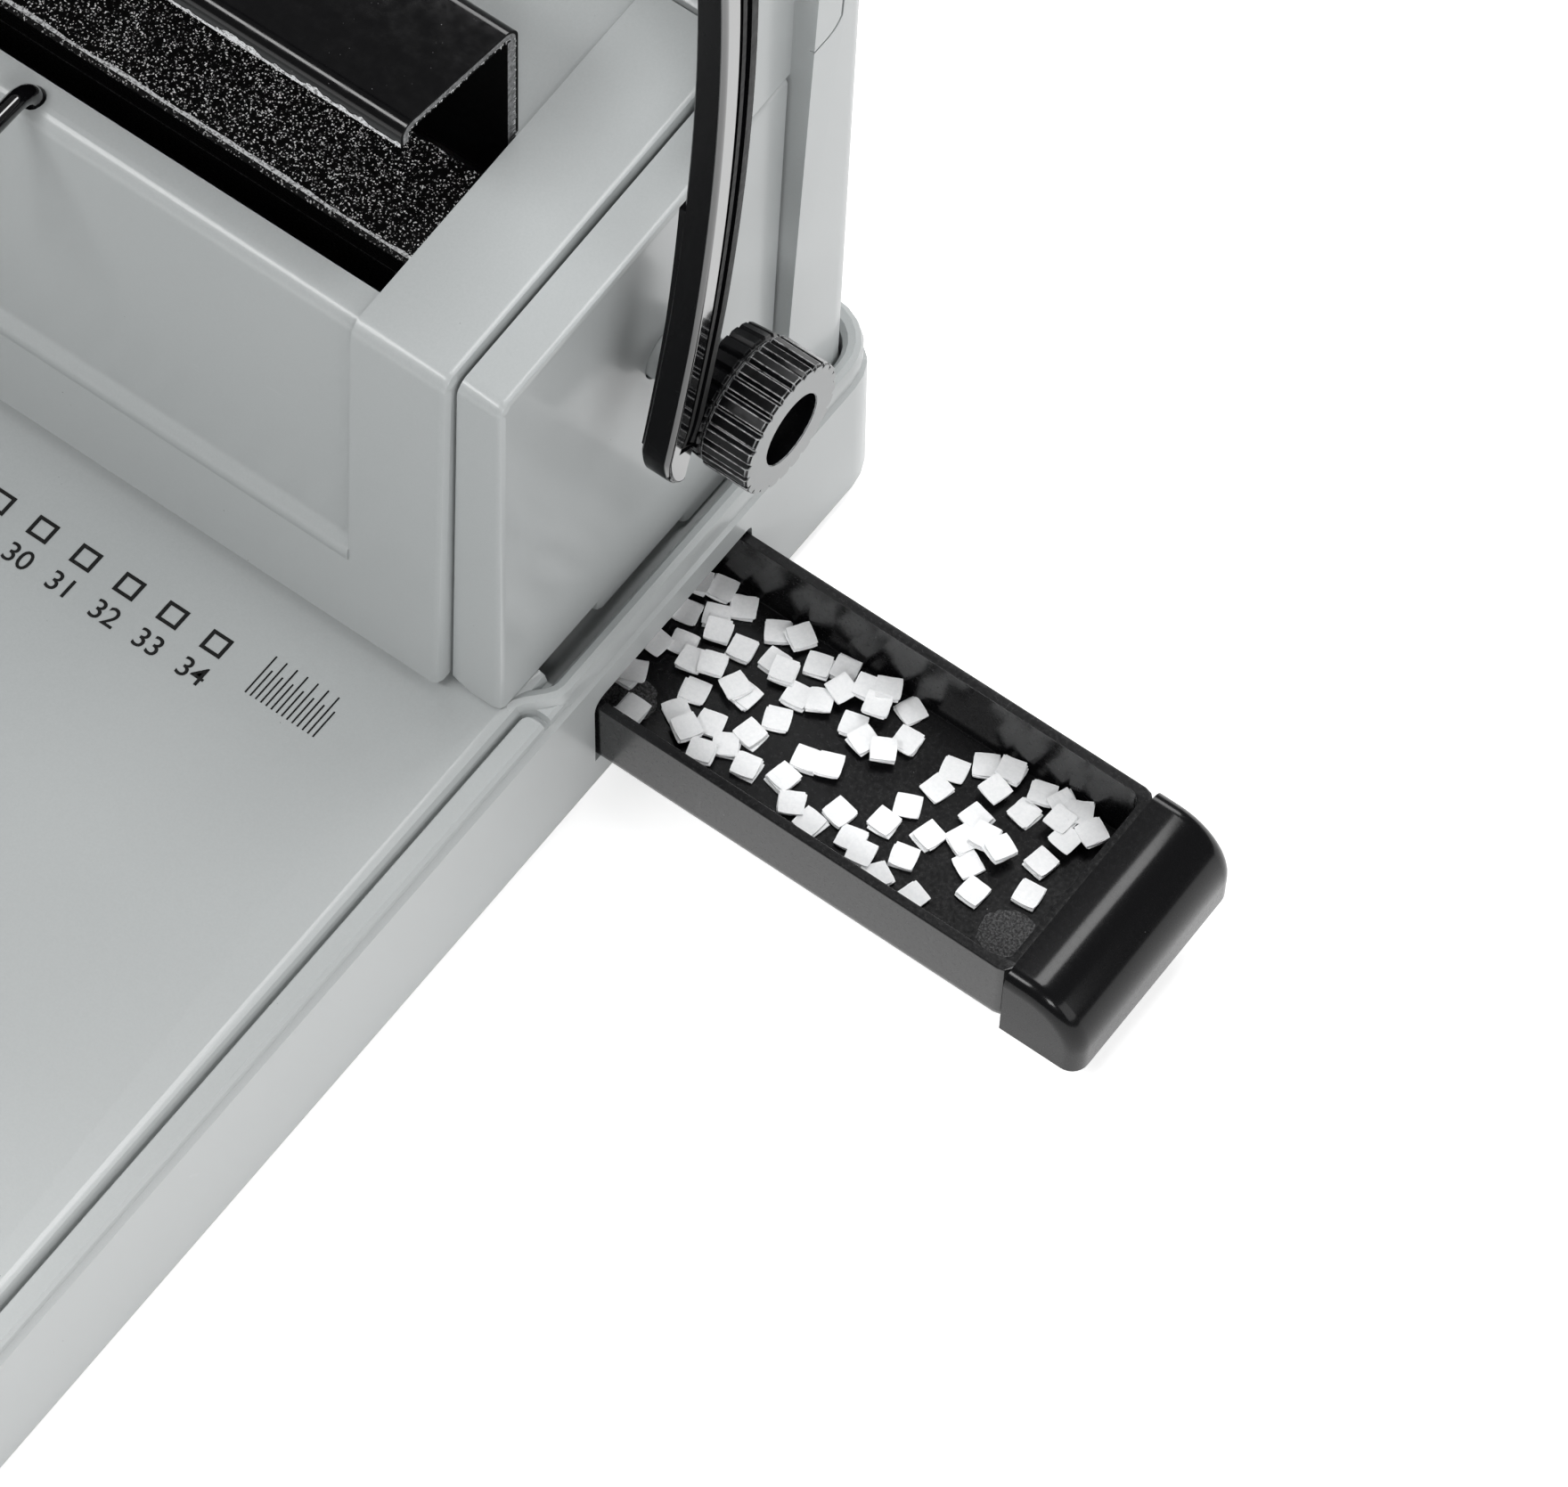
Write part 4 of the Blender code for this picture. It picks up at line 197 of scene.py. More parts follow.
# Spacers between cheek and arm, and how far they reach into the cheek
SPACER_R = 0.0047
SPACER_SINK = 0.0051

# Sunken front panel: half length, lower edge, and its lip as (share in, height, rise)
PANEL_HALF = 0.1545
PANEL_LOW_Z = 0.0605
PANEL_LIP = (
    (1.00, 0.0020, 0.0), (0.98, 0.0013, 0.0), (0.85, 0.0007, 0.0), (0.50, 0.0001, 0.0),
    (0.18, -0.0005, 0.00005), (0.0, -0.0011, 0.0002), (0.0, -0.0017, 0.00032),
    (0.0, -0.0024, 0.0003), (0.0, -0.0032, 0.00015), (0.0, -0.0040, -0.00002))
PANEL_LIP_SINK = 0.0004
PANEL_PROBE = 0.05

# Drawer cap: its top rolls down to the outer face
CAP_ROLL_R = 0.0110
CAP_ROLL_STEPS = 14
CAP_SIDE_R = 0.0030
CAP_SIDE_STEPS = 7
CAP_START_X = 0.2222
CAP_END_X = 0.2367

# Camera, fitted to the printed marks
PHOTO_W = 1760
PHOTO_H = 1669
FOCAL_PX = 9500.0
AZIMUTH = 33.61
ELEVATION = 59.85
ROLL = 3.048
DISTANCE = 1.284526
TARGET = (0.219065, 0.065641, 0.036)
SENSOR_W = 36.0
CLIP_NEAR = 0.05
CLIP_FAR = 20.0

# Chips seen in the photograph, as pixel centres in it
CHIP_PIXELS = (
    (816, 657), (834, 683), (771, 688), (804, 694), (806, 711), (874, 711), (905, 714),
    (766, 722), (736, 722), (833, 731), (777, 745), (800, 752), (870, 745), (880, 758),
    (918, 749), (952, 750), (780, 777), (836, 782), (826, 775), (760, 800), (797, 813),
    (770, 822), (895, 784), (920, 790), (945, 780), (972, 780), (1000, 778), (1024, 797),
    (985, 800), (957, 815), (970, 835), (1018, 834), (990, 848), (872, 808), (843, 826),
    (815, 838), (787, 848), (838, 862), (905, 855), (930, 862), (879, 875), (888, 903),
    (910, 924), (942, 913), (956, 942), (966, 960), (992, 925), (1018, 905), (1050, 886),
    (1071, 865), (1107, 861), (1140, 864), (1118, 893), (1042, 940), (1015, 962),
    (1024, 1008), (985, 985), (1096, 920), (1080, 945), (1105, 945), (1122, 962),
    (1087, 972), (1150, 915), (1170, 895), (1195, 905), (1218, 912), (1190, 930),
    (1195, 950), (1225, 944), (1168, 970), (1093, 1003), (1155, 1006))
CHIP_HALF = 0.00205
CHIP_T = 0.00022
CHIP_STEPS = 4
CHIP_CURL = (-0.00010, 0.00022)
CHIP_WEAR = 0.05
CHIP_UNEVEN = 0.012
CHIP_SEED = 7
# Chips lie in small stacks; stacks that touch lie on each other up to a height
CHIP_LAYERS = (2, 3, 3, 4)
CHIP_PITCH = 1.15
CHIP_CROWD = 2.1
CHIP_HEAP_H = 0.0022
CHIP_TURN = 0.55
CHIP_LAYER_TURN = 0.10
CHIP_TILT = 0.09
CHIP_SHIFT = 0.00022
CHIP_MARGIN_X = 0.0050
CHIP_MARGIN_Y = 0.0048
# More chips in the part of the drawer that the photograph does not show
HIDDEN_CHIPS = 34
HIDDEN_X = (0.150, 0.190)
HIDDEN_Y = (0.064, 0.094)
DRAWER_BASE_T = 0.0018
DRAWER_FLOOR = DRAWER_LOW.z + DRAWER_BASE_T + SKIN

# Rough moulding spots on the drawer's floor, as pixel centres in the photograph
GATE_PIXELS = ((705, 785), (1130, 1050))
GATE_R = 0.0046
GATE_SIDES = 36
GATE_UNEVEN = (0.93, 1.05)
GATE_SEED = 21
GATE_MARGIN = 0.0075
GATE_MARGIN_INNER = 0.008

# Screws under the base: the head's rows as (share of radius, share of height), the sides per
# arm of the cross, its reach along and between the arms and its floor as shares, and the
# places as insets from the plate's edges
SCREW_R = 0.0030
SCREW_H = 0.0011
SCREW_SIDES = 24
SCREW_ROWS = ((1.0, 0.0), (0.98, 0.45), (0.80, 0.85), (0.50, 1.0))
CROSS_PITCH = 6
CROSS_LONG = 0.44
CROSS_SHORT = 0.128
CROSS_FLOOR = 0.35
SCREW_INSET = 0.012
SCREW_CORNER_INSET = 0.048

# Studio
FLOOR_REACH = 3.0
FLOOR_Z = -0.0002
FLOOR_TONE = (0.82, 0.82, 0.82)
FLOOR_ROUGH = 0.9
FLOOR_GLOW = 0.62
WORLD_SOFT = 0.16
WORLD_SEEN = 1.0
WHITE = (1, 1, 1, 1)
LAMP_AIM = (0.12, 0.05, 0.05)
# Name, direction from the aim, distance, width, height, power in watts
LAMPS = (
    ("key", (-0.28, -0.54, 0.79), 1.7, 0.7, 0.4, 11.0),
    ("right", (0.86, -0.05, 0.42), 1.7, 1.3, 0.9, 7.5),
    ("right_front", (0.60, -0.78, 0.75), 1.7, 0.35, 0.35, 5.0),
    ("top", (0.06, 0.32, 0.94), 1.7, 0.45, 0.9, 11.5),
    ("back", (-0.35, 0.9, 0.75), 1.8, 1.2, 0.5, 13.5))

# Textures: where most values of a noise lie, normals that count as level, and the soft
# border of a patch of dots
NOISE_LOW = 0.3
NOISE_HIGH = 0.7
LEVEL_FROM = 0.55
LEVEL_TO = 0.85
PATCH_BORDER = 0.06
BEVEL_SAMPLES = 4


def place(x, y, z):
    """Point in the frame from one that counts x from the middle of the punch row."""
    return Vector((x + MIDDLE_X, y, z))


def mirrored(x):
    """The same place on the other side of the machine's middle."""
    return 2 * MIDDLE_X - x


def link_in(name, data):
    """New object of the data, in the scene."""
    item = bpy.data.objects.new(name, data)
    bpy.context.scene.collection.objects.link(item)
    return item


# Camera

def camera_axes():
    azimuth, elevation, roll = (math.radians(a) for a in (AZIMUTH, ELEVATION, ROLL))
    back = Vector((math.sin(azimuth) * math.cos(elevation),
                   -math.cos(azimuth) * math.cos(elevation), math.sin(elevation)))
    right = Vector((math.cos(azimuth), math.sin(azimuth), 0))
    up = back.cross(right)
    turned_right = right * math.cos(roll) + up * math.sin(roll)
    turned_up = up * math.cos(roll) - right * math.sin(roll)
    return turned_right, turned_up, back


def camera_place():
    return place(*TARGET) + camera_axes()[2] * DISTANCE


def add_camera():
    right, up, back = camera_axes()
    data = bpy.data.cameras.new("camera")
    data.sensor_fit = 'HORIZONTAL'
    data.sensor_width = SENSOR_W
    data.lens = FOCAL_PX / PHOTO_W * data.sensor_width
    data.clip_start = CLIP_NEAR
    data.clip_end = CLIP_FAR
    camera = link_in("camera", data)
    axes = Matrix((right, up, back)).transposed().to_4x4()
    camera.matrix_world = Matrix.Translation(camera_place()) @ axes
    bpy.context.scene.camera = camera


def on_level(pixel, height):
    """Where the sight line through a photo pixel meets a level plane."""
    right, up, back = camera_axes()
    across = (pixel[0] - PHOTO_W / 2) / FOCAL_PX
    down = (pixel[1] - PHOTO_H / 2) / FOCAL_PX
    ray = -back + right * across - up * down
    start = camera_place()
    return start + ray * ((height - start.z) / ray.z)


# Node materials

def fill(node, **values):
    """Sets inputs of a node; an underscore in a name stands for a space."""
    for name, value in values.items():
        node.inputs[name.replace("_", " ")].default_value = value


class Shader:
    """Builds one procedural material; each call adds a node and returns its output."""

    def __init__(self, name):
        self.material = bpy.data.materials.new(name)
        self.material.use_nodes = True
        self.tree = self.material.node_tree
        self.bsdf = self.tree.nodes["Principled BSDF"]
        self.object = self.node("ShaderNodeTexCoord").outputs["Object"]

    def node(self, kind, **settings):
        made = self.tree.nodes.new(kind)
        for key, value in settings.items():
            setattr(made, key, value)
        return made

    def link(self, source, target):
        self.tree.links.new(source, target)

    def put(self, socket, value):
        """Links another node's output, or sets a number or an (r, g, b) colour."""
        if isinstance(value, bpy.types.NodeSocket):
            self.link(value, socket)
        else:
            socket.default_value = (*value, 1.0) if isinstance(value, tuple) else value

    def noise(self, scale, detail=3.0, rough=0.5, where=None, distortion=0.0):
        made = self.node("ShaderNodeTexNoise")
        self.link(where or self.object, made.inputs["Vector"])
        fill(made, Scale=scale, Detail=detail, Roughness=rough, Distortion=distortion)
        return made.outputs["Fac"]

    def voronoi(self, scale, output="Distance"):
        made = self.node("ShaderNodeTexVoronoi")
        self.link(self.object, made.inputs["Vector"])
        fill(made, Scale=scale)
        return made.outputs[output]

    def span(self, fac, low, high, to_low=0.0, to_high=1.0):
        made = self.node("ShaderNodeMapRange")
        self.link(fac, made.inputs["Value"])
        fill(made, From_Min=low, From_Max=high, To_Min=to_low, To_Max=to_high)
        return made.outputs["Result"]

    def rough_by(self, fac, low, high):
        """Roughness from low to high along a noise."""
        return self.span(fac, NOISE_LOW, NOISE_HIGH, low, high)

    def mix(self, fac, first, second):
        made = self.node("ShaderNodeMix", data_type='RGBA')
        self.put(made.inputs["Factor"], fac)
        for socket, value in zip((i for i in made.inputs if i.type == 'RGBA'), (first, second)):
            self.put(socket, value)
        return [o for o in made.outputs if o.type == 'RGBA'][0]

    def math(self, operation, first, second=0.0):
        made = self.node("ShaderNodeMath", operation=operation)
        self.put(made.inputs[0], first)
        self.put(made.inputs[1], second)
        return made.outputs[0]

    def stretch(self, x, y, z):
        made = self.node("ShaderNodeMapping")
        self.link(self.object, made.inputs["Vector"])
        fill(made, Scale=(x, y, z))
        return made.outputs["Vector"]

    def upward(self):
        """1 on level faces, 0 on upright ones."""
        plain = self.node("ShaderNodeNewGeometry")
        parts = self.node("ShaderNodeSeparateXYZ")
        self.link(plain.outputs["Normal"], parts.inputs[0])
        return self.span(parts.outputs["Z"], LEVEL_FROM, LEVEL_TO)

    def dots(self, scale, size, patch_scale, patch_low):
        """Scattered small dots, kept to patches."""
        near = self.span(self.voronoi(scale), size, size * 0.5)
        patch = self.span(self.noise(patch_scale), patch_low, patch_low + PATCH_BORDER)
        return self.math('MULTIPLY', near, patch)

    def bump(self, height, strength, distance):
        made = self.node("ShaderNodeBump")
        self.link(height, made.inputs["Height"])
        fill(made, Strength=strength, Distance=distance)
        last = self.bsdf.inputs["Normal"]
        if last.is_linked:
            self.link(last.links[0].from_socket, made.inputs["Normal"])
        self.link(made.outputs["Normal"], last)

    def edge(self, radius, low, high):
        """1 on edges: there the bevelled normal differs from the true one."""
        bevel = self.node("ShaderNodeBevel", samples=BEVEL_SAMPLES)
        fill(bevel, Radius=radius)
        plain = self.node("ShaderNodeNewGeometry")
        dot = self.node("ShaderNodeVectorMath", operation='DOT_PRODUCT')
        self.link(bevel.outputs["Normal"], dot.inputs[0])
        self.link(plain.outputs["Normal"], dot.inputs[1])
        return self.span(dot.outputs["Value"], high, low)

    def set(self, **values):
        names = {"colour": "Base Color", "rough": "Roughness", "metal": "Metallic",
                 "specular": "Specular IOR Level", "coat": "Coat Weight",
                 "coat_rough": "Coat Roughness"}
        for key, value in values.items():
            self.put(self.bsdf.inputs[names[key]], value)
        return self.material


def grey_plastic():
    """Housing plastic with faint clouds, dark specks and rub marks."""
    s = Shader("silver_grey_abs")
    cloud = s.noise(9.0, 2.0)
    grain = s.noise(2600.0, 2.0, 0.6)
    colour = s.mix(s.span(cloud, 0.35, 0.7), (0.430, 0.452, 0.454), (0.470, 0.490, 0.490))
    colour = s.mix(s.span(grain, 0.3, 0.75, 0.0, 0.14), colour, (0.62, 0.64, 0.64))
    colour = s.mix(s.dots(420.0, 0.055, 60.0, 0.63), colour, (0.09, 0.09, 0.09))
    rub = s.noise(160.0, 4.0, 0.7, s.stretch(0.12, 1.0, 1.0), 0.5)
    colour = s.mix(s.span(rub, 0.68, 0.80, 0.0, 0.20), colour, (0.66, 0.68, 0.68))
    s.bump(grain, 0.06, 0.0002)
    return s.set(colour=colour, rough=s.rough_by(grain, 0.38, 0.50), specular=0.5, coat=0.35,
                 coat_rough=0.15)


def black_gloss():
    s = Shader("black_gloss_plastic")
    scratch = s.noise(900.0, 4.0, 0.65, s.stretch(0.25, 1.0, 0.06))
    smear = s.noise(70.0, 3.0)
    colour = s.mix(s.span(scratch, 0.66, 0.8, 0.0, 0.4), (0.0035, 0.0035, 0.004),
                   (0.02, 0.02, 0.021))
    s.bump(s.noise(24.0, 2.0), 0.05, 0.001)
    return s.set(colour=colour, rough=s.span(smear, 0.35, 0.7, 0.06, 0.13), specular=0.5, coat=1.0,
                 coat_rough=0.05)


def cap_black():
    """Half gloss plastic of the drawer's cap, with nicks and dust."""
    s = Shader("black_rolled_cap")
    fine = s.noise(1200.0, 3.0, 0.6)
    nick = s.noise(260.0, 5.0, 0.7, s.stretch(0.4, 1.0, 1.0), 0.8)
    colour = s.mix(s.span(nick, 0.68, 0.78, 0.0, 0.5), (0.004, 0.004, 0.0045),
                   (0.05, 0.05, 0.052))
    colour = s.mix(s.dots(520.0, 0.06, 150.0, 0.60), colour, (0.30, 0.30, 0.30))
    s.bump(fine, 0.05, 0.0001)
    return s.set(colour=colour, rough=s.rough_by(fine, 0.20, 0.30), specular=0.07, coat=0.38,
                 coat_rough=0.13)


def black_satin():
    s = Shader("black_satin_plastic")
    fine = s.noise(700.0, 4.0, 0.6)
    mark = s.noise(300.0, 5.0, 0.7, s.stretch(1.0, 1.0, 0.2), 0.8)
    colour = s.mix(s.span(mark, 0.66, 0.76, 0.0, 0.5), (0.0035, 0.0035, 0.004),
                   (0.03, 0.03, 0.031))
    s.bump(fine, 0.05, 0.0001)
    return s.set(colour=colour, rough=s.rough_by(fine, 0.16, 0.28), specular=0.045)


def ribbed_black():
    """Knob plastic with a painted highlight on its rib edges, faded out near the arm as painted
    shade.
    """
    s = Shader("black_ribbed_knob")
    fine = s.noise(900.0, 3.0)
    # Painted highlight: light grey colour on the rib edges, where the lamps catch them
    rib = s.math('MULTIPLY', s.edge(0.00032, 0.88, 0.98), s.span(fine, 0.30, 0.55, 0.1, 1.0))
    along = s.node("ShaderNodeSeparateXYZ")
    s.link(s.node("ShaderNodeTexCoord").outputs["Generated"], along.inputs[0])
    # Painted shade: the rib highlight fades out towards the arm, where the knob lies in shade
    rib = s.math('MULTIPLY', rib, s.span(along.outputs["X"], 0.30, 0.46))
    colour = s.mix(rib, (0.003, 0.003, 0.0035), (0.85, 0.86, 0.87))
    s.bump(fine, 0.05, 0.0001)
    return s.set(colour=colour, rough=s.rough_by(fine, 0.16, 0.28), specular=0.22)


def black_matt():
    """Drawer plastic with scratches both ways and paper dust."""
    s = Shader("black_drawer_plastic")
    fine = s.noise(1500.0, 3.0, 0.6)
    scratch = s.noise(320.0, 5.0, 0.7, s.stretch(1.0, 0.12, 0.12), 0.6)
    cross = s.noise(260.0, 5.0, 0.7, s.stretch(0.15, 1.0, 0.15), 1.2)
    marks = s.math('MAXIMUM', s.span(scratch, 0.66, 0.74), s.span(cross, 0.69, 0.76))
    colour = s.mix(s.math('MULTIPLY', marks, 0.5), (0.0045, 0.0045, 0.005),
                   (0.055, 0.055, 0.056))
    colour = s.mix(s.dots(620.0, 0.06, 170.0, 0.58), colour, (0.34, 0.34, 0.34))
    s.bump(s.noise(40.0, 2.0), 0.06, 0.001)
    s.bump(fine, 0.05, 0.0001)
    return s.set(colour=colour, rough=s.rough_by(fine, 0.18, 0.30), specular=0.27, coat=0.15,
                 coat_rough=0.16)


def black_enamel():
    s = Shader("black_enamel_steel")
    fine = s.noise(500.0, 4.0)
    wipe = s.noise(260.0, 4.0, 0.7, s.stretch(0.06, 1.0, 1.0), 0.4)
    dust = s.dots(900.0, 0.09, 240.0, 0.60)
    colour = s.mix(dust, (0.003, 0.003, 0.0034), (0.16, 0.16, 0.165))
    colour = s.mix(s.span(wipe, 0.64, 0.78, 0.0, 0.5), colour, (0.03, 0.03, 0.032))
    s.bump(s.noise(50.0, 2.0), 0.05, 0.001)
    return s.set(colour=colour, rough=s.rough_by(fine, 0.10, 0.20), specular=0.34)


def powder_with_painted_glints():
    """Rough black powder coat with white specks painted on level faces only, as painted glints."""
    s = Shader("black_powder_painted_glints")
    cells = s.voronoi(4700.0, output="Color")
    lump = s.noise(2300.0, 2.0, 0.7)
    pick = s.node("ShaderNodeSeparateColor")
    s.link(cells, pick.inputs[0])
    level = s.upward()
    # Painted glints: white specks only where faces look up towards the lamps above
    bright = s.math('MULTIPLY', s.span(pick.outputs[0], 0.85, 0.91), s.span(lump, 0.42, 0.50))
    bright = s.math('MULTIPLY', bright, level)
    colour = s.mix(bright, (0.0012, 0.0012, 0.0013), (1.0, 1.0, 1.0))
    s.bump(lump, 0.45, 0.0003)
    return s.set(colour=colour, rough=s.span(pick.outputs[1], 0.0, 1.0, 0.35, 0.7), specular=0.15)


def steel(name, tone, rough=0.30):
    """Metal of the given tone with fine lines along x."""
    s = Shader(name)
    lines = s.noise(700.0, 3.0, 0.6, s.stretch(0.05, 1.0, 1.0))
    colour = s.mix(s.span(lines, 0.3, 0.7), tuple(c * 0.86 for c in tone), tone)
    s.bump(lines, 0.05, 0.0001)
    return s.set(colour=colour, metal=1.0, rough=s.rough_by(lines, rough, rough + 0.14))


def foam_grip():
    s = Shader("black_foam_grip")
    pores = s.voronoi(1100.0)
    colour = s.mix(s.span(pores, 0.1, 0.5), (0.010, 0.010, 0.010), (0.022, 0.022, 0.023))
    s.bump(pores, 0.35, 0.0003)
    return s.set(colour=colour, rough=s.rough_by(s.noise(60.0), 0.55, 0.72), specular=0.35)


def paper_white():
    s = Shader("white_paper")
    fibre = s.noise(1600.0, 3.0, 0.6)
    colour = s.mix(s.span(fibre, 0.35, 0.65), (0.90, 0.91, 0.92), (0.97, 0.975, 0.98))
    s.bump(s.noise(420.0, 2.0), 0.35, 0.0004)
    return s.set(colour=colour, rough=s.rough_by(fibre, 0.75, 0.9), specular=0.2)


def mottled(name, noise, border, dark, light, rough, specular, bump=None):
    """Material of one noise (scale, detail, roughness); border is where its colours meet."""
    s = Shader(name)
    grain = s.noise(*noise)
    colour = s.mix(s.span(grain, *border) if border else grain, dark, light)
    s.set(colour=colour, rough=s.rough_by(grain, *rough), specular=specular)
    if bump:
        s.bump(grain, *bump)
    return s.material


GREY = grey_plastic()
GLOSS = black_gloss()
SATIN = black_satin()
CAP = cap_black()
KNOB = ribbed_black()
MATT = black_matt()
ENAMEL = black_enamel()
POWDER = powder_with_painted_glints()
TOOL = steel("ground_tool_steel", (0.56, 0.57, 0.58))
ZINC = steel("zinc_sheet", (0.62, 0.63, 0.62), 0.36)
BRONZE = steel("sintered_bronze", (0.58, 0.40, 0.22), 0.38)
FOAM = foam_grip()
PAPER = paper_white()
RUBBER = mottled("black_rubber", (900.0, 3.0), None, (0.012, 0.012, 0.012),
                 (0.028, 0.028, 0.028), (0.65, 0.85), 0.3, (0.2, 0.0002))
INK = mottled("black_print", (1800.0, 3.0), (0.55, 0.75), (0.005, 0.005, 0.005),
              (0.025, 0.025, 0.025), (0.45, 0.6), 0.3)
BARE = mottled("bare_cut_steel", (1900.0, 4.0, 0.75), (0.40, 0.52), (0.14, 0.14, 0.142),
               (0.86, 0.87, 0.88), (0.55, 0.35), 0.6, (0.4, 0.0002))
FACE = mottled("grey_moulded_face", (1300.0, 3.0), None, (0.25, 0.258, 0.26),
               (0.33, 0.338, 0.34), (0.32, 0.45), 0.5, (0.08, 0.0002))
GATE = mottled("rough_gate_spot", (2400.0, 4.0, 0.8), (0.44, 0.60), (0.006, 0.006, 0.0065),
               (0.11, 0.11, 0.112), (0.5, 0.75), 0.4, (0.6, 0.0004))
DULL = mottled("dull_cut_edge", (1500.0, 4.0, 0.7), (0.35, 0.65), (0.08, 0.082, 0.084),
               (0.34, 0.345, 0.35), (0.45, 0.7), 0.3, (0.3, 0.0002))
# Darker, less shiny copy of the enamel: painted shade for the inside of the press bar and the
# bands of its cut ends
SHADE_BLACK = mottled("painted_shade_black_inside", (600.0, 3.0), None, (0.0010, 0.0010, 0.0011),
               (0.0022, 0.0022, 0.0024), (0.45, 0.6), 0.04)

FINISH = {"grey_housing": GREY, "black_gloss": GLOSS, "black_matt": MATT,
          "black_steel": ENAMEL, "rough_black": POWDER, "steel": TOOL, "zinc": ZINC,
          "bronze": BRONZE, "rubber": RUBBER}
OWN_FINISH = {"handle_grip": FOAM, "adjust_knob": KNOB}


def dress_nodes():
    """Gives each node the finish of its slot in the record, or its own one."""
    slots = {p["node"]: p["material_slot"] for p in frame["record"]["subparts"]}
    for name, item in NODES.items():
        item.data.materials.clear()
        item.data.materials.append(OWN_FINISH.get(name, FINISH[slots[name]]))


def weld(item):
    joined = item.modifiers.new("weld", 'WELD')
    joined.merge_threshold = WELD_GAP


def sharpen(item, angle):
    split = item.modifiers.new("sharp_edges", 'EDGE_SPLIT')
    split.split_angle = math.radians(angle)


def soften(names, width):
    """Small rounding on the edges of moulded nodes, before the smooth shading."""
    for name in names:
        item = NODES[name]
        weld(item)
        bevel = item.modifiers.new("round", 'BEVEL')
        bevel.width = width
        bevel.segments = SOFT_SEGMENTS
        bevel.limit_method = 'ANGLE'
        bevel.angle_limit = math.radians(SOFT_ANGLE)
        bevel.use_clamp_overlap = True


def smooth_all():
    """Smooth shading that keeps sharp edges and flat faces, on every node."""
    for item in NODES.values():
        if not item.modifiers:
            weld(item)
        item.data.polygons.foreach_set("use_smooth", [True] * len(item.data.polygons))
        sharpen(item, NODE_SHARP)
        flat = item.modifiers.new("flat_faces_first", 'WEIGHTED_NORMAL')
        flat.weight = FLAT_WEIGHT
        flat.keep_sharp = True


# Pieces

def make_mesh(name, mesh_data, materials):
    mesh = bpy.data.meshes.new(name)
    mesh_data.to_mesh(mesh)
    mesh_data.free()
    for material in materials:
        mesh.materials.append(material)
    return link_in(name, mesh)


def add_mesh(name, mesh_data, materials, body, smooth=False):
    """Makes a piece of the mesh and lets it ride on a body."""
    item = make_mesh(name, mesh_data, materials)
    if smooth:
        item.data.shade_smooth()
    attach(item, body)
    return item


def quad(mesh_data, *corners):
    mesh_data.faces.new([mesh_data.verts.new(c) for c in corners])


def join_rows(mesh_data, low, high, turned=False):
    """Faces between two closed rows of as many vertices; turned ones face the other way."""
    faces = []
    for index in range(len(low)):
        following = (index + 1) % len(low)
        corners = (low[index], low[following], high[following], high[index])
        faces.append(mesh_data.faces.new((corners[0], *corners[:0:-1]) if turned else corners))
    return faces


def flat_quad(mesh_data, x0, x1, y0, y1, z):
    quad(mesh_data, place(x0, y0, z), place(x1, y0, z), place(x1, y1, z), place(x0, y1, z))


def hole_x(index):
    return (index - (HOLE_COUNT - 1) / 2) * HOLE_PITCH


def printed_squares():
    """Outlined squares before the holes, and the edge scale."""
    marks = bmesh.new()
    lift = TRAY_Z + SKIN
    outer = SQUARE_HALF
    inner = SQUARE_HALF - SQUARE_LINE
    for index in range(HOLE_COUNT):
        x = hole_x(index)
        for x0, x1, y0, y1 in ((-outer, outer, -outer, -inner), (-outer, outer, inner, outer),
                               (-outer, -inner, -inner, inner), (inner, outer, -inner, inner)):
            flat_quad(marks, x + x0, x + x1, MARK_Y + y0, MARK_Y + y1, lift)
    for index in range(SCALE_LINES):
        x = SCALE_X + index * SCALE_STEP
        high = MARK_Y + SCALE_HIGHS[index % 2]
        flat_quad(marks, x - SCALE_LINE_W / 2, x + SCALE_LINE_W / 2, MARK_Y - SCALE_LOW,
                  high, lift)
    add_mesh("hole_marks", marks, [INK], "machine")


def printed_numbers():
    for index in range(HOLE_COUNT):
        name = f"hole_number_{index + 1}"
        text = bpy.data.curves.new(name, 'FONT')
        text.body = str(index + 1)
        text.align_x = 'CENTER'
        text.align_y = 'CENTER'
        text.size = NUMBER_SIZE
        text.offset = NUMBER_BOLD
        text.resolution_u = NUMBER_CURVE_STEPS
        item = link_in(name, text)
        item.location = place(hole_x(index), MARK_Y - NUMBER_DROP, TRAY_Z + SKIN)
        text.materials.append(INK)
        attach(item, "machine")


# Bed and press bar

def ragged_strip(name, start, end, width, body, seed, jitter, steps):
    """Bare flat strip from start to end whose far border is ragged; width is a direction."""
    rng = random.Random(seed)
    mesh_data = bmesh.new()
    near = []
    far = []
    share = RAGGED_START
    for step in range(steps + 1):
        along = Vector(start).lerp(Vector(end), step / steps)
        share += rng.uniform(-jitter, jitter) * RAGGED_PACE
        share = min(1.0, max(1.0 - jitter, share))
        near.append(mesh_data.verts.new(along))
        far.append(mesh_data.verts.new(along + Vector(width) * share))
    for index in range(steps):
        mesh_data.faces.new((near[index], near[index + 1], far[index + 1], far[index]))
    add_mesh(name, mesh_data, [BARE], body)


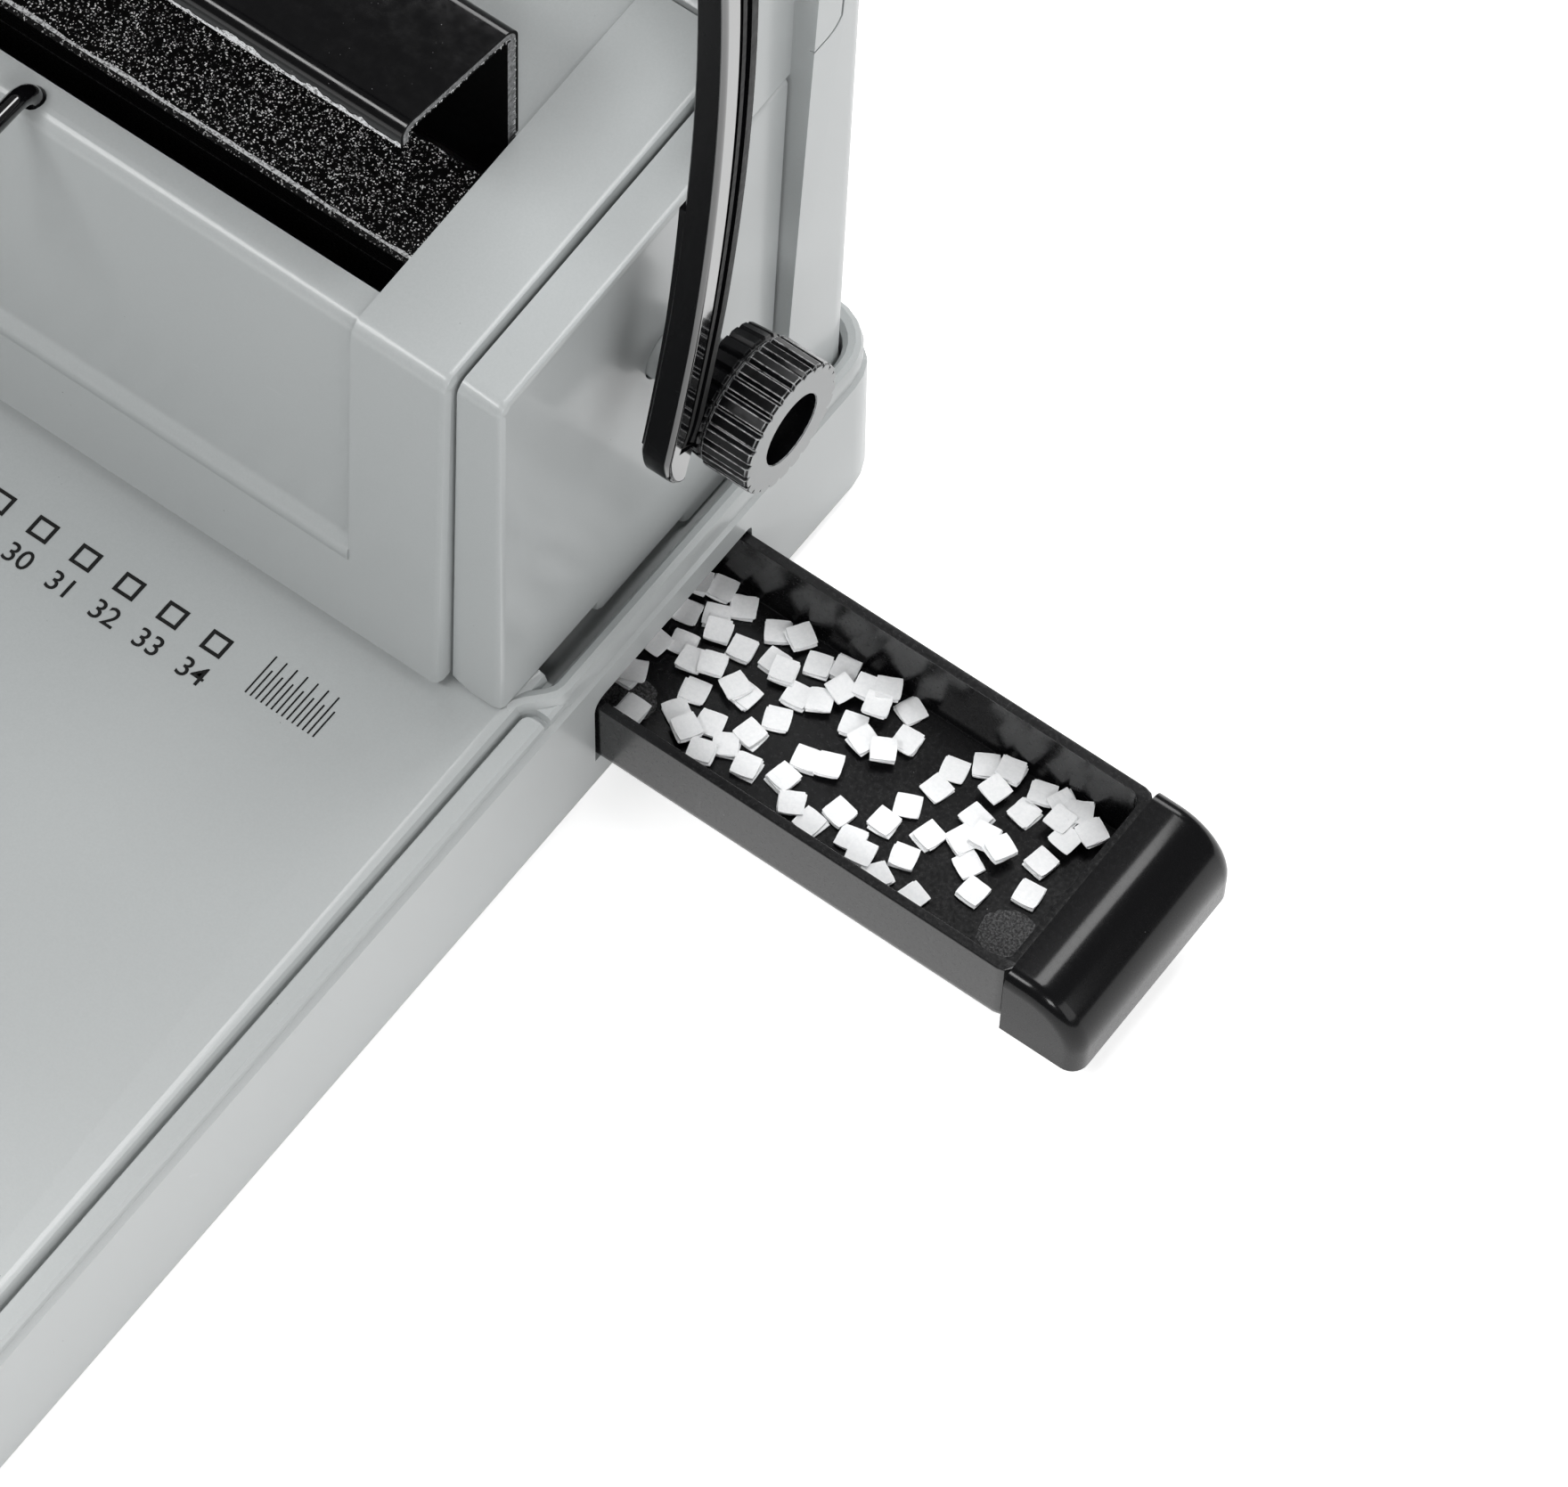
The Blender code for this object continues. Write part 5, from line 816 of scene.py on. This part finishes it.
def bed_edge():
    """Worn bright line along the bed's front edge, and a bead along its flange."""
    x0 = BED_LOW.x + BED_INSET
    x1 = BED_HIGH.x - BED_INSET
    y = BED_LOW.y + BED_EDGE_IN
    z = BED_HIGH.z + SKIN
    ragged_strip("bed_worn_edge", (x0, y, z), (x1, y, z), (0, BED_EDGE_W, 0), "machine",
                 *BED_EDGE_RAG)
    front = BED_LOW.y - SKIN
    low = z - BED_BEAD_DROP
    high = low + BED_BEAD_H
    mesh_data = bmesh.new()
    quad(mesh_data, (x0, front, low), (x1, front, low), (x1, front, high),
         (x0, front, high))
    add_mesh("bed_flange_line", mesh_data, [GATE], "machine")


def bar_contour(depth):
    """Bent sheet's contour in (y, z) at a depth below its outer skin."""
    radius = BAR_BEND_R - depth
    top = BAR_HIGH.z - BAR_BEND_R
    spots = [(BAR_FRONT_Y + depth, BAR_HIGH.z - BAR_LIP)]
    for centre, first in ((BAR_FRONT_Y + BAR_BEND_R, 180), (BAR_BACK_Y - BAR_BEND_R, 90)):
        for step in range(BAR_BEND_STEPS + 1):
            angle = math.radians(first - 90 * step / BAR_BEND_STEPS)
            spots.append((centre + radius * math.cos(angle), top + radius * math.sin(angle)))
    spots.append((BAR_BACK_Y - depth, BAR_LOW.z))
    return spots


def bar_end(far, side, y, z):
    """Point of the slanted cut end; far is x at the bar's back, side is 1 or -1."""
    back = BAR_SLANT * (BAR_BACK_Y - y) / (BAR_BACK_Y - BAR_FRONT_Y)
    return (far - side * back, y, z)


def bar_flecks(name, far, side, depth, parts, seed):
    """Bright burrs along one line of a cut end of the press bar."""
    rng = random.Random(seed)
    line = bar_contour(depth)[parts]
    mesh_data = bmesh.new()
    for first, last in zip(line, line[1:]):
        start = Vector(first)
        end = Vector(last)
        steps = max(1, int((end - start).length / BURR_STEP))
        away = Vector(((end - start).y, -(end - start).x)).normalized()
        for step in range(steps):
            spot = start.lerp(end, step / steps)
            following = start.lerp(end, (step + 1) / steps)
            tip = (spot + following) / 2 + away * rng.uniform(*BURR_SPREAD) * BURR_REACH
            if rng.random() < BURR_GAPS:
                continue
            mesh_data.faces.new([mesh_data.verts.new(bar_end(far, side, y, z))
                                 for y, z in (spot, following, tip)])
    add_mesh(name, mesh_data, [BARE], "closer")


def press_bar():
    """Enamelled sheet with bare, unevenly cut ends; its inside and the other bands of its ends
    carry a darker enamel copy as painted shade.
    """
    mesh_data = bmesh.new()
    ends = []
    for side in (1, -1):
        far = BAR_HIGH.x if side > 0 else BAR_LOW.x
        rows = [[mesh_data.verts.new(bar_end(far, side, y, z))
                 for y, z in bar_contour(BAR_SHEET * share)] for share in BAR_LAYERS]
        ends.append(rows)
        flange = len(rows[0]) - 2
        for level, (low, high) in enumerate(zip(rows, rows[1:])):
            for index in range(flange + 1):
                corners = (low[index], high[index], high[index + 1], low[index + 1])
                face = mesh_data.faces.new(corners if side > 0 else corners[::-1])
                # Bands of the cut ends that are not bare get the darker enamel copy as painted
                # shade
                bare = level == BAR_BARE_BAND or (level == BAR_FLANGE_BAND and index == flange)
                face.material_index = BAR_DULL if bare else BAR_SHADE
    right, left = ends
    count = len(right[0])
    for index in range(count - 1):
        mesh_data.faces.new((right[0][index], right[0][index + 1], left[0][index + 1],
                             left[0][index]))
        # Inner side of the bent sheet in the darker enamel copy: painted shade under the bar
        face = mesh_data.faces.new((right[-1][index], left[-1][index], left[-1][index + 1],
                                    right[-1][index + 1]))
        face.material_index = BAR_SHADE
    for index in (0, count - 1):
        for level in range(len(BAR_LAYERS) - 1):
            face = mesh_data.faces.new((right[level][index], left[level][index],
                                        left[level + 1][index], right[level + 1][index]))
            face.material_index = BAR_DULL
    item = add_mesh("enamelled_press_bar", mesh_data, [ENAMEL, DULL, SHADE_BLACK], "closer", True)
    sharpen(item, BAR_SHARP)
    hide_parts("press_bar")
    low = BAR_HIGH.z - BAR_LIP
    front = BAR_FRONT_Y - SKIN
    ragged_strip("bar_lip_edge", (BAR_LOW.x + BAR_SLANT, front, low),
                 (BAR_HIGH.x - BAR_SLANT, front, low), (0, 0, BAR_EDGE_W), "closer",
                 *BAR_EDGE_RAG)
    for end, side in (("right", 1), ("left", -1)):
        far = (BAR_HIGH.x if side > 0 else BAR_LOW.x) + side * SKIN
        for name, share, parts, seed in BURRS:
            bar_flecks(name + end, far, side, BAR_SHEET * share, parts, seed)


# Knob, arms and springs

def knob_end():
    """The light face of the knob, cut to the outline of its ribs."""
    centre = Vector((KNOB_HIGH.x + SKIN, AXIS_Y, AXIS_Z))
    radius = (KNOB_HIGH.z - KNOB_LOW.z) / 2
    mesh_data = bmesh.new()
    inner = []
    outer = []
    for index in range(KNOB_RIBS):
        for share in KNOB_RIB_SHARES:
            angle = math.tau * (index + share) / KNOB_RIBS
            side = Vector((0, math.cos(angle), math.sin(angle)))
            reach = radius - KNOB_FACE_IN - (KNOB_RIB_H if share == 0 else 0)
            inner.append(mesh_data.verts.new(centre + side * radius * KNOB_HOLE_SHARE))
            outer.append(mesh_data.verts.new(centre + side * reach))
    join_rows(mesh_data, inner, outer, True)
    add_mesh("knob_end_face", mesh_data, [FACE], "knob")


def arm_middle(z):
    """Place in y of the arm's middle line at a height."""
    crest = AXIS_Z + ARM_CREST_RISE
    bow = math.sqrt(ARM_BEND_R ** 2 - (z - crest) ** 2)
    root = math.sqrt(ARM_BEND_R ** 2 - ARM_CREST_RISE ** 2)
    low = max(0.0, (AXIS_Z + ARM_BOW_RISE - z) / ARM_BOW_RISE)
    return AXIS_Y - ARM_ROOT_SET + bow - root - ARM_BOW_FIX * low


def rear_more(z):
    """How much further back the rear edge lies, above the knob."""
    share = min(1.0, max(0.0, (z - ARM_REAR_FROM_Z) / ARM_REAR_OVER))
    return ARM_REAR_MORE * share * share * (3 - 2 * share)


def arm_loop(front, front_x, rear, rear_x):
    """One loop round the arm as (x, y, z); inset and x go from front to rear values."""
    head = ARM_HIGH.z - ARM_HALF_W
    crest = AXIS_Z + ARM_CREST_RISE
    spots = []

    def add(z, turn, share):
        lean = math.asin((z - crest) / ARM_BEND_R)
        angle = turn + lean
        inset = rear if z > ARM_GROOVE_Z + SKIN else max(front, rear * ARM_FOOT_SHARE)
        reach = ARM_HALF_W - (front + (inset - front) * share)
        more = rear_more(z) * (1 + math.cos(turn)) / 2
        x = front_x + (rear_x - front_x) * share
        spots.append(Vector((x, arm_middle(z) + reach * math.cos(angle) + more,
                             z + reach * math.sin(angle))))

    low = ARM_REAR_FOOT_Z + front
    heights = (low, *ARM_REAR_HEIGHTS)
    left_over = ARM_STEPS + 1 - len(heights)
    for z in heights:
        add(z, 0.0, 1.0)
    for step in range(1, left_over + 1):
        add(heights[-1] + (head - heights[-1]) * step / left_over, 0.0, 1.0)
    for step in range(1, ARM_END_STEPS):
        share = step / ARM_END_STEPS
        add(head, math.pi * share, 1.0 - share)
    for step in range(ARM_STEPS + 1):
        add(head + (ARM_FRONT_FOOT_Z - head) * step / ARM_STEPS, math.pi, 0.0)
    start = spots[-1]
    end = spots[0]
    for step in range(1, ARM_END_STEPS):
        angle = math.pi / 2 * step / ARM_END_STEPS
        spots.append(Vector((front_x, end.y + (start.y - end.y) * math.cos(angle),
                             start.z + (end.z - start.z) * math.sin(angle))))
    return spots


def prism(mesh_data, x0, x1, outline):
    """Solid between two x values with the given (y, z) outline."""
    rows = [[mesh_data.verts.new((x, y, z)) for y, z in outline] for x in (x0, x1)]
    mesh_data.faces.new(rows[0][::-1])
    mesh_data.faces.new(rows[1])
    join_rows(mesh_data, *rows)


def arm_shade_strip():
    """Outline of the black rib on the inner side of an arm's lower part, a dark strip that paints
    the arm's shadow on the cheek.
    """
    front = []
    rear = []
    for step in range(ARM_STRIP_STEPS + 1):
        share = step / ARM_STRIP_STEPS
        z = ARM_FRONT_FOOT_Z + (ARM_STRIP_TOP_Z - ARM_FRONT_FOOT_Z) * share
        edge = ARM_STRIP_IN + ARM_STRIP_TAPER * (1 - share)
        front.append((arm_middle(z) - ARM_HALF_W + edge, z))
        rear.append((arm_middle(z) + ARM_HALF_W / 2, z))
    return front[::-1] + rear


def round_stub(mesh_data, x0, x1, radius):
    """Round bar about the handle's axis between two x values."""
    angles = [math.tau * index / STUB_SIDES for index in range(STUB_SIDES)]
    prism(mesh_data, x0, x1, [(AXIS_Y + radius * math.cos(angle),
                               AXIS_Z + radius * math.sin(angle)) for angle in angles])


def handle_arms():
    """Moulded arms with a satin front and a glossy outer face, and their hubs."""
    outer = ARM_HIGH.x
    inner = outer - ARM_T
    edge = ARM_INNER_EDGE
    web_z = AXIS_Z + ARM_WEB_RISE * ARM_HUB_R
    web = [(arm_middle(AXIS_Z), AXIS_Z - ARM_HUB_R / 2), (AXIS_Y, AXIS_Z - ARM_HUB_R),
           (AXIS_Y + ARM_HUB_R * ARM_WEB_CORNER, AXIS_Z + ARM_HUB_R * ARM_WEB_CORNER),
           (arm_middle(web_z), web_z)]
    loops = [arm_loop(edge, inner, edge, inner), arm_loop(0, inner + edge, 0, inner + edge)]
    sides = len(loops)
    loops += [arm_loop(front, outer - front_in, rear, outer - rear_in)
              for front, front_in, rear, rear_in, _ in ARM_LOOPS]
    kinds = [ARM_SATIN] * sides + [row[-1] for row in ARM_LOOPS]
    for name in ("right", "left"):
        mesh_data = bmesh.new()
        rows = [[mesh_data.verts.new(spot) for spot in loop] for loop in loops]
        for level, (low, high) in enumerate(zip(rows, rows[1:])):
            for index, face in enumerate(join_rows(mesh_data, low, high)):
                behind = index < ARM_STEPS + ARM_END_STEPS / 2
                face.material_index = kinds[level] if level < sides or behind else ARM_GLOSS
        mesh_data.faces.new(rows[0][::-1]).material_index = ARM_SATIN
        mesh_data.faces.new(rows[-1])
        round_stub(mesh_data, ARM_LOW.x, inner + edge, ARM_HUB_R)
        before = len(mesh_data.faces)
        # Black rib beside the arm: painted shade for the arm's shadow on the cheek
        prism(mesh_data, inner - ARM_STRIP_T, inner + edge, arm_shade_strip())
        prism(mesh_data, inner - ARM_STRIP_T, inner + edge, web)
        mesh_data.faces.ensure_lookup_table()
        for index in range(before, len(mesh_data.faces)):
            mesh_data.faces[index].material_index = ARM_SATIN
        if name == "left":
            for vert in mesh_data.verts:
                vert.co.x = mirrored(vert.co.x)
            bmesh.ops.reverse_faces(mesh_data, faces=mesh_data.faces)
        item = add_mesh("moulded_arm_" + name, mesh_data, [GLOSS, SATIN, RUBBER], "handle", True)
        sharpen(item, ARM_SHARP)
        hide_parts("handle_arm_" + name)


def shaft_spacers():
    """Grey plastic spacers round the shaft, between each cheek and the arm's hub."""
    cheek_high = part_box("side_cheek_right")[1]
    x0 = cheek_high.x - SPACER_SINK
    x1 = ARM_LOW.x - SKIN
    for name, reach in (("right", (x0, x1)), ("left", (mirrored(x1), mirrored(x0)))):
        mesh_data = bmesh.new()
        round_stub(mesh_data, *reach, SPACER_R)
        item = add_mesh("shaft_spacer_" + name, mesh_data, [GREY], "machine", True)
        sharpen(item, ARM_SHARP)


def return_springs():
    """Steel copies of the return springs on the machine body, in place of their nodes; nothing
    here shortens them as the handle drives the punch bar down.
    """
    for name in ("return_spring_right", "return_spring_left"):
        item = link_in("coil_" + name, NODES[name].data.copy())
        item.data.materials.clear()
        item.data.materials.append(TOOL)
        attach(item, "machine")
        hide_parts(name)
        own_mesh(item)


# Housing and drawer

def panel_front(z):
    """Place in y of the housing's front face at a height, found with a ray from the front."""
    start = Vector((MIDDLE_X, SHELL_LOW.y - PANEL_PROBE, z))
    return NODES["main_housing"].ray_cast(start, Vector((0, 1, 0)))[1].y


def panel_lip():
    """Soft raised lip along the lower edge of the sunken front panel."""
    top = PANEL_LOW_Z + PANEL_LIP[0][1]
    bottom = PANEL_LOW_Z + PANEL_LIP[-1][1]
    inner = panel_front(top)
    outer = panel_front(bottom)
    outline = [(outer + (inner - outer) * share - rise, PANEL_LOW_Z + up)
               for share, up, rise in PANEL_LIP]
    outline += [(inner + PANEL_LIP_SINK, bottom), (inner + PANEL_LIP_SINK, top)]
    mesh_data = bmesh.new()
    prism(mesh_data, MIDDLE_X - PANEL_HALF, MIDDLE_X + PANEL_HALF, outline)
    item = add_mesh("front_panel_lip", mesh_data, [GREY], "machine", True)
    sharpen(item, MOULD_SHARP)


def cap_profile(inset):
    """Section of the drawer's cap in (x, z), drawn in by an inset."""
    reach = CAP_ROLL_R - inset
    spots = [(CAP_START_X, CAP_HIGH.z - inset)]
    for step in range(CAP_ROLL_STEPS + 1):
        angle = math.pi / 2 * (1 - step / CAP_ROLL_STEPS)
        spots.append((CAP_END_X - CAP_ROLL_R + reach * math.cos(angle),
                      CAP_HIGH.z - CAP_ROLL_R + reach * math.sin(angle)))
    spots.append((CAP_END_X - inset, CAP_LOW.z))
    spots.append((CAP_START_X, CAP_LOW.z))
    return spots


def drawer_cap():
    """Cap on the drawer's end: level top, rolled outer side, small rounding at both ends."""
    mesh_data = bmesh.new()
    rows = []
    for edge, sense in ((CAP_LOW.y, 1), (CAP_HIGH.y, -1)):
        part = []
        for step in range(CAP_SIDE_STEPS + 1):
            angle = math.pi / 2 * step / CAP_SIDE_STEPS
            y = edge + sense * CAP_SIDE_R * (1 - math.cos(angle))
            part.append([mesh_data.verts.new((x, y, z))
                         for x, z in cap_profile(CAP_SIDE_R * (1 - math.sin(angle)))])
        rows += part if sense > 0 else part[::-1]
    for low, high in zip(rows, rows[1:]):
        join_rows(mesh_data, low, high, True)
    mesh_data.faces.new(rows[0])
    mesh_data.faces.new(rows[-1][::-1])
    item = add_mesh("drawer_end_cap", mesh_data, [CAP], "drawer", True)
    sharpen(item, MOULD_SHARP)
    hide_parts("drawer_grip")


def kept_in(value, low, high):
    return min(max(value, low), high)


def gate_spots():
    """Rough round spots on the drawer's floor, where the photograph shows them."""
    mesh_data = bmesh.new()
    rng = random.Random(GATE_SEED)
    for pixel in GATE_PIXELS:
        middle = on_level(pixel, DRAWER_FLOOR)
        middle.x = kept_in(middle.x, DRAWER_LOW.x + GATE_MARGIN_INNER,
                           DRAWER_HIGH.x - GATE_MARGIN)
        middle.y = kept_in(middle.y, DRAWER_LOW.y + GATE_MARGIN, DRAWER_HIGH.y - GATE_MARGIN)
        rim = []
        for index in range(GATE_SIDES):
            angle = math.tau * index / GATE_SIDES
            reach = GATE_R * rng.uniform(*GATE_UNEVEN)
            rim.append(mesh_data.verts.new(middle + Vector((reach * math.cos(angle),
                                                            reach * math.sin(angle), 0))))
        mesh_data.faces.new(rim)
    add_mesh("drawer_gate_spots", mesh_data, [GATE], "drawer")


def either_way(rng, reach):
    return rng.uniform(-reach, reach)


def chips():
    """Punched paper squares, single and in small stacks, on the drawer's floor."""
    rng = random.Random(CHIP_SEED)
    mesh_data = bmesh.new()
    spots = [on_level(pixel, DRAWER_FLOOR + CHIP_T) for pixel in CHIP_PIXELS]
    for _ in range(HIDDEN_CHIPS):
        spots.append(place(rng.uniform(*HIDDEN_X), rng.uniform(*HIDDEN_Y), DRAWER_FLOOR))
    placed = []
    for spot in spots:
        x = kept_in(spot.x, DRAWER_LOW.x + CHIP_MARGIN_X, DRAWER_HIGH.x - CHIP_MARGIN_X)
        y = kept_in(spot.y, DRAWER_LOW.y + CHIP_MARGIN_Y, DRAWER_HIGH.y - CHIP_MARGIN_Y)
        z = DRAWER_FLOOR
        crowd = [p for p in placed
                 if math.hypot(p[0] - x, p[1] - y) < CHIP_CROWD * CHIP_HALF]
        if crowd:
            z = min(max(p[2] for p in crowd), DRAWER_FLOOR + CHIP_HEAP_H)
        layers = rng.choice(CHIP_LAYERS)
        turn = either_way(rng, CHIP_TURN)
        tilt = (0.0, 0.0)
        if crowd:
            tilt = (either_way(rng, CHIP_TILT), either_way(rng, CHIP_TILT))
        for layer in range(layers):
            where = Vector((x + either_way(rng, CHIP_SHIFT), y + either_way(rng, CHIP_SHIFT),
                            z + layer * CHIP_T * CHIP_PITCH))
            chip(mesh_data, where, turn + either_way(rng, CHIP_LAYER_TURN), tilt, rng)
        placed.append((x, y, z + layers * CHIP_T * CHIP_PITCH))
    add_mesh("paper_chips", mesh_data, [PAPER], "drawer")


def chip(mesh_data, where, turn, tilt, rng):
    """One square of paper with a slight dome and worn corners."""
    curl = rng.uniform(*CHIP_CURL)
    matrix = (Matrix.Translation(where + Vector((0, 0, CHIP_T / 2)))
              @ Matrix.Rotation(tilt[0], 4, 'X') @ Matrix.Rotation(tilt[1], 4, 'Y')
              @ Matrix.Rotation(turn, 4, 'Z'))
    steps = CHIP_STEPS
    top = []
    low = []
    for i in range(steps + 1):
        top_row = []
        low_row = []
        for j in range(steps + 1):
            u = i / steps * 2 - 1
            v = j / steps * 2 - 1
            pull = 1.0 - CHIP_WEAR * (abs(u) * abs(v)) ** 3 + either_way(rng, CHIP_UNEVEN)
            lift = curl * (u * u + v * v)
            point = Vector((u * CHIP_HALF * pull, v * CHIP_HALF * pull, lift))
            top_row.append(mesh_data.verts.new(matrix @ (point + Vector((0, 0, CHIP_T)))))
            low_row.append(mesh_data.verts.new(matrix @ point))
        top.append(top_row)
        low.append(low_row)
    for i in range(steps):
        for j in range(steps):
            mesh_data.faces.new((top[i][j], top[i + 1][j], top[i + 1][j + 1], top[i][j + 1]))
            mesh_data.faces.new((low[i][j], low[i][j + 1], low[i + 1][j + 1], low[i + 1][j]))
    rim = [(i, 0) for i in range(steps)] + [(steps, j) for j in range(steps)]
    rim += [(i, steps) for i in range(steps, 0, -1)] + [(0, j) for j in range(steps, 0, -1)]
    for (a, b), (c, d) in zip(rim, rim[1:] + rim[:1]):
        mesh_data.faces.new((top[a][b], low[a][b], low[c][d], top[c][d]))


# Underside

def screw(mesh_data, centre, axis):
    """Pan head with a cross recess, standing on a face along axis."""
    turn = axis.to_track_quat('Z', 'Y').to_matrix().to_4x4()
    matrix = Matrix.Translation(centre) @ turn

    def ring(reaches, height):
        row = []
        for index, reach in enumerate(reaches):
            angle = math.tau * index / SCREW_SIDES
            row.append(mesh_data.verts.new(matrix @ Vector((
                reach * math.cos(angle), reach * math.sin(angle), height))))
        return row

    rows = [ring([SCREW_R * share] * SCREW_SIDES, SCREW_H * high) for share, high in SCREW_ROWS]
    cross = [SCREW_R * (CROSS_LONG if index % CROSS_PITCH in (0, 1, 5) else CROSS_SHORT)
             for index in range(SCREW_SIDES)]
    rows.append(ring(cross, SCREW_H * CROSS_FLOOR))
    for low, high in zip(rows, rows[1:]):
        join_rows(mesh_data, low, high)
    mesh_data.faces.new(rows[-1])


def bottom_screws():
    """Screws along the edges of the bottom plate."""
    mesh_data = bmesh.new()
    middle_x = (PLATE_LOW.x + PLATE_HIGH.x) / 2
    middle_y = (PLATE_LOW.y + PLATE_HIGH.y) / 2
    spots = [(x, y) for x in (PLATE_LOW.x + SCREW_INSET, PLATE_HIGH.x - SCREW_INSET)
             for y in (PLATE_LOW.y + SCREW_CORNER_INSET, middle_y,
                       PLATE_HIGH.y - SCREW_CORNER_INSET)]
    spots += [(middle_x, PLATE_LOW.y + SCREW_INSET), (middle_x, PLATE_HIGH.y - SCREW_INSET)]
    for x, y in spots:
        screw(mesh_data, Vector((x, y, PLATE_LOW.z)), Vector((0, 0, -1)))
    add_mesh("bottom_plate_screws", mesh_data, [TOOL], "machine", True)


# Stage and light

def stage():
    """Plain pale floor with a glow that only the camera and mirror-like faces see."""
    mesh_data = bmesh.new()
    quad(mesh_data, *[(x * FLOOR_REACH, y * FLOOR_REACH, FLOOR_Z)
                      for x, y in ((-1, -1), (1, -1), (1, 1), (-1, 1))])
    s = Shader("floor_white")
    s.set(colour=FLOOR_TONE, rough=FLOOR_ROUGH)
    ray = s.node("ShaderNodeLightPath").outputs
    seen = s.math('MAXIMUM', ray["Is Camera Ray"], ray["Is Glossy Ray"])
    seen = s.math('MAXIMUM', seen, ray["Is Transmission Ray"])
    glow = s.node("ShaderNodeEmission")
    fill(glow, Color=WHITE)
    s.link(s.math('MULTIPLY', seen, FLOOR_GLOW), glow.inputs["Strength"])
    add = s.node("ShaderNodeAddShader")
    s.link(s.bsdf.outputs[0], add.inputs[0])
    s.link(glow.outputs[0], add.inputs[1])
    s.link(add.outputs[0], s.tree.nodes["Material Output"].inputs["Surface"])
    floor = make_mesh("floor", mesh_data, [s.material])


def lamp(name, toward, distance, width, height, power):
    """Soft box that stands in a direction from the aim and faces it."""
    aim = Vector(LAMP_AIM)
    data = bpy.data.lights.new(name, 'AREA')
    data.shape = 'RECTANGLE'
    data.size = width
    data.size_y = height
    data.energy = power
    item = link_in(name, data)
    item.location = aim + Vector(toward).normalized() * distance
    item.rotation_euler = (aim - item.location).to_track_quat('-Z', 'Y').to_euler()


def light():
    """Soft world that the camera sees as white, and the soft boxes."""
    world = bpy.data.worlds.new("studio")
    bpy.context.scene.world = world
    world.use_nodes = True
    tree = world.node_tree
    soft = tree.nodes["Background"]
    fill(soft, Color=WHITE, Strength=WORLD_SOFT)
    white = tree.nodes.new("ShaderNodeBackground")
    fill(white, Strength=WORLD_SEEN)
    path = tree.nodes.new("ShaderNodeLightPath")
    pick = tree.nodes.new("ShaderNodeMixShader")
    tree.links.new(path.outputs["Is Camera Ray"], pick.inputs["Fac"])
    tree.links.new(soft.outputs[0], pick.inputs[1])
    tree.links.new(white.outputs[0], pick.inputs[2])
    tree.links.new(pick.outputs[0], tree.nodes["World Output"].inputs["Surface"])
    for row in LAMPS:
        lamp(*row)
    bpy.context.scene.view_settings.view_transform = 'Standard'


add_camera()
dress_nodes()
soften(SOFT_NODES, SOFT_WIDTH)
soften(["chip_drawer"], DRAWER_SOFT_WIDTH)
smooth_all()
printed_squares()
printed_numbers()
bed_edge()
press_bar()
knob_end()
handle_arms()
shaft_spacers()
return_springs()
panel_lip()
drawer_cap()
gate_spots()
chips()
bottom_screws()
stage()
light()
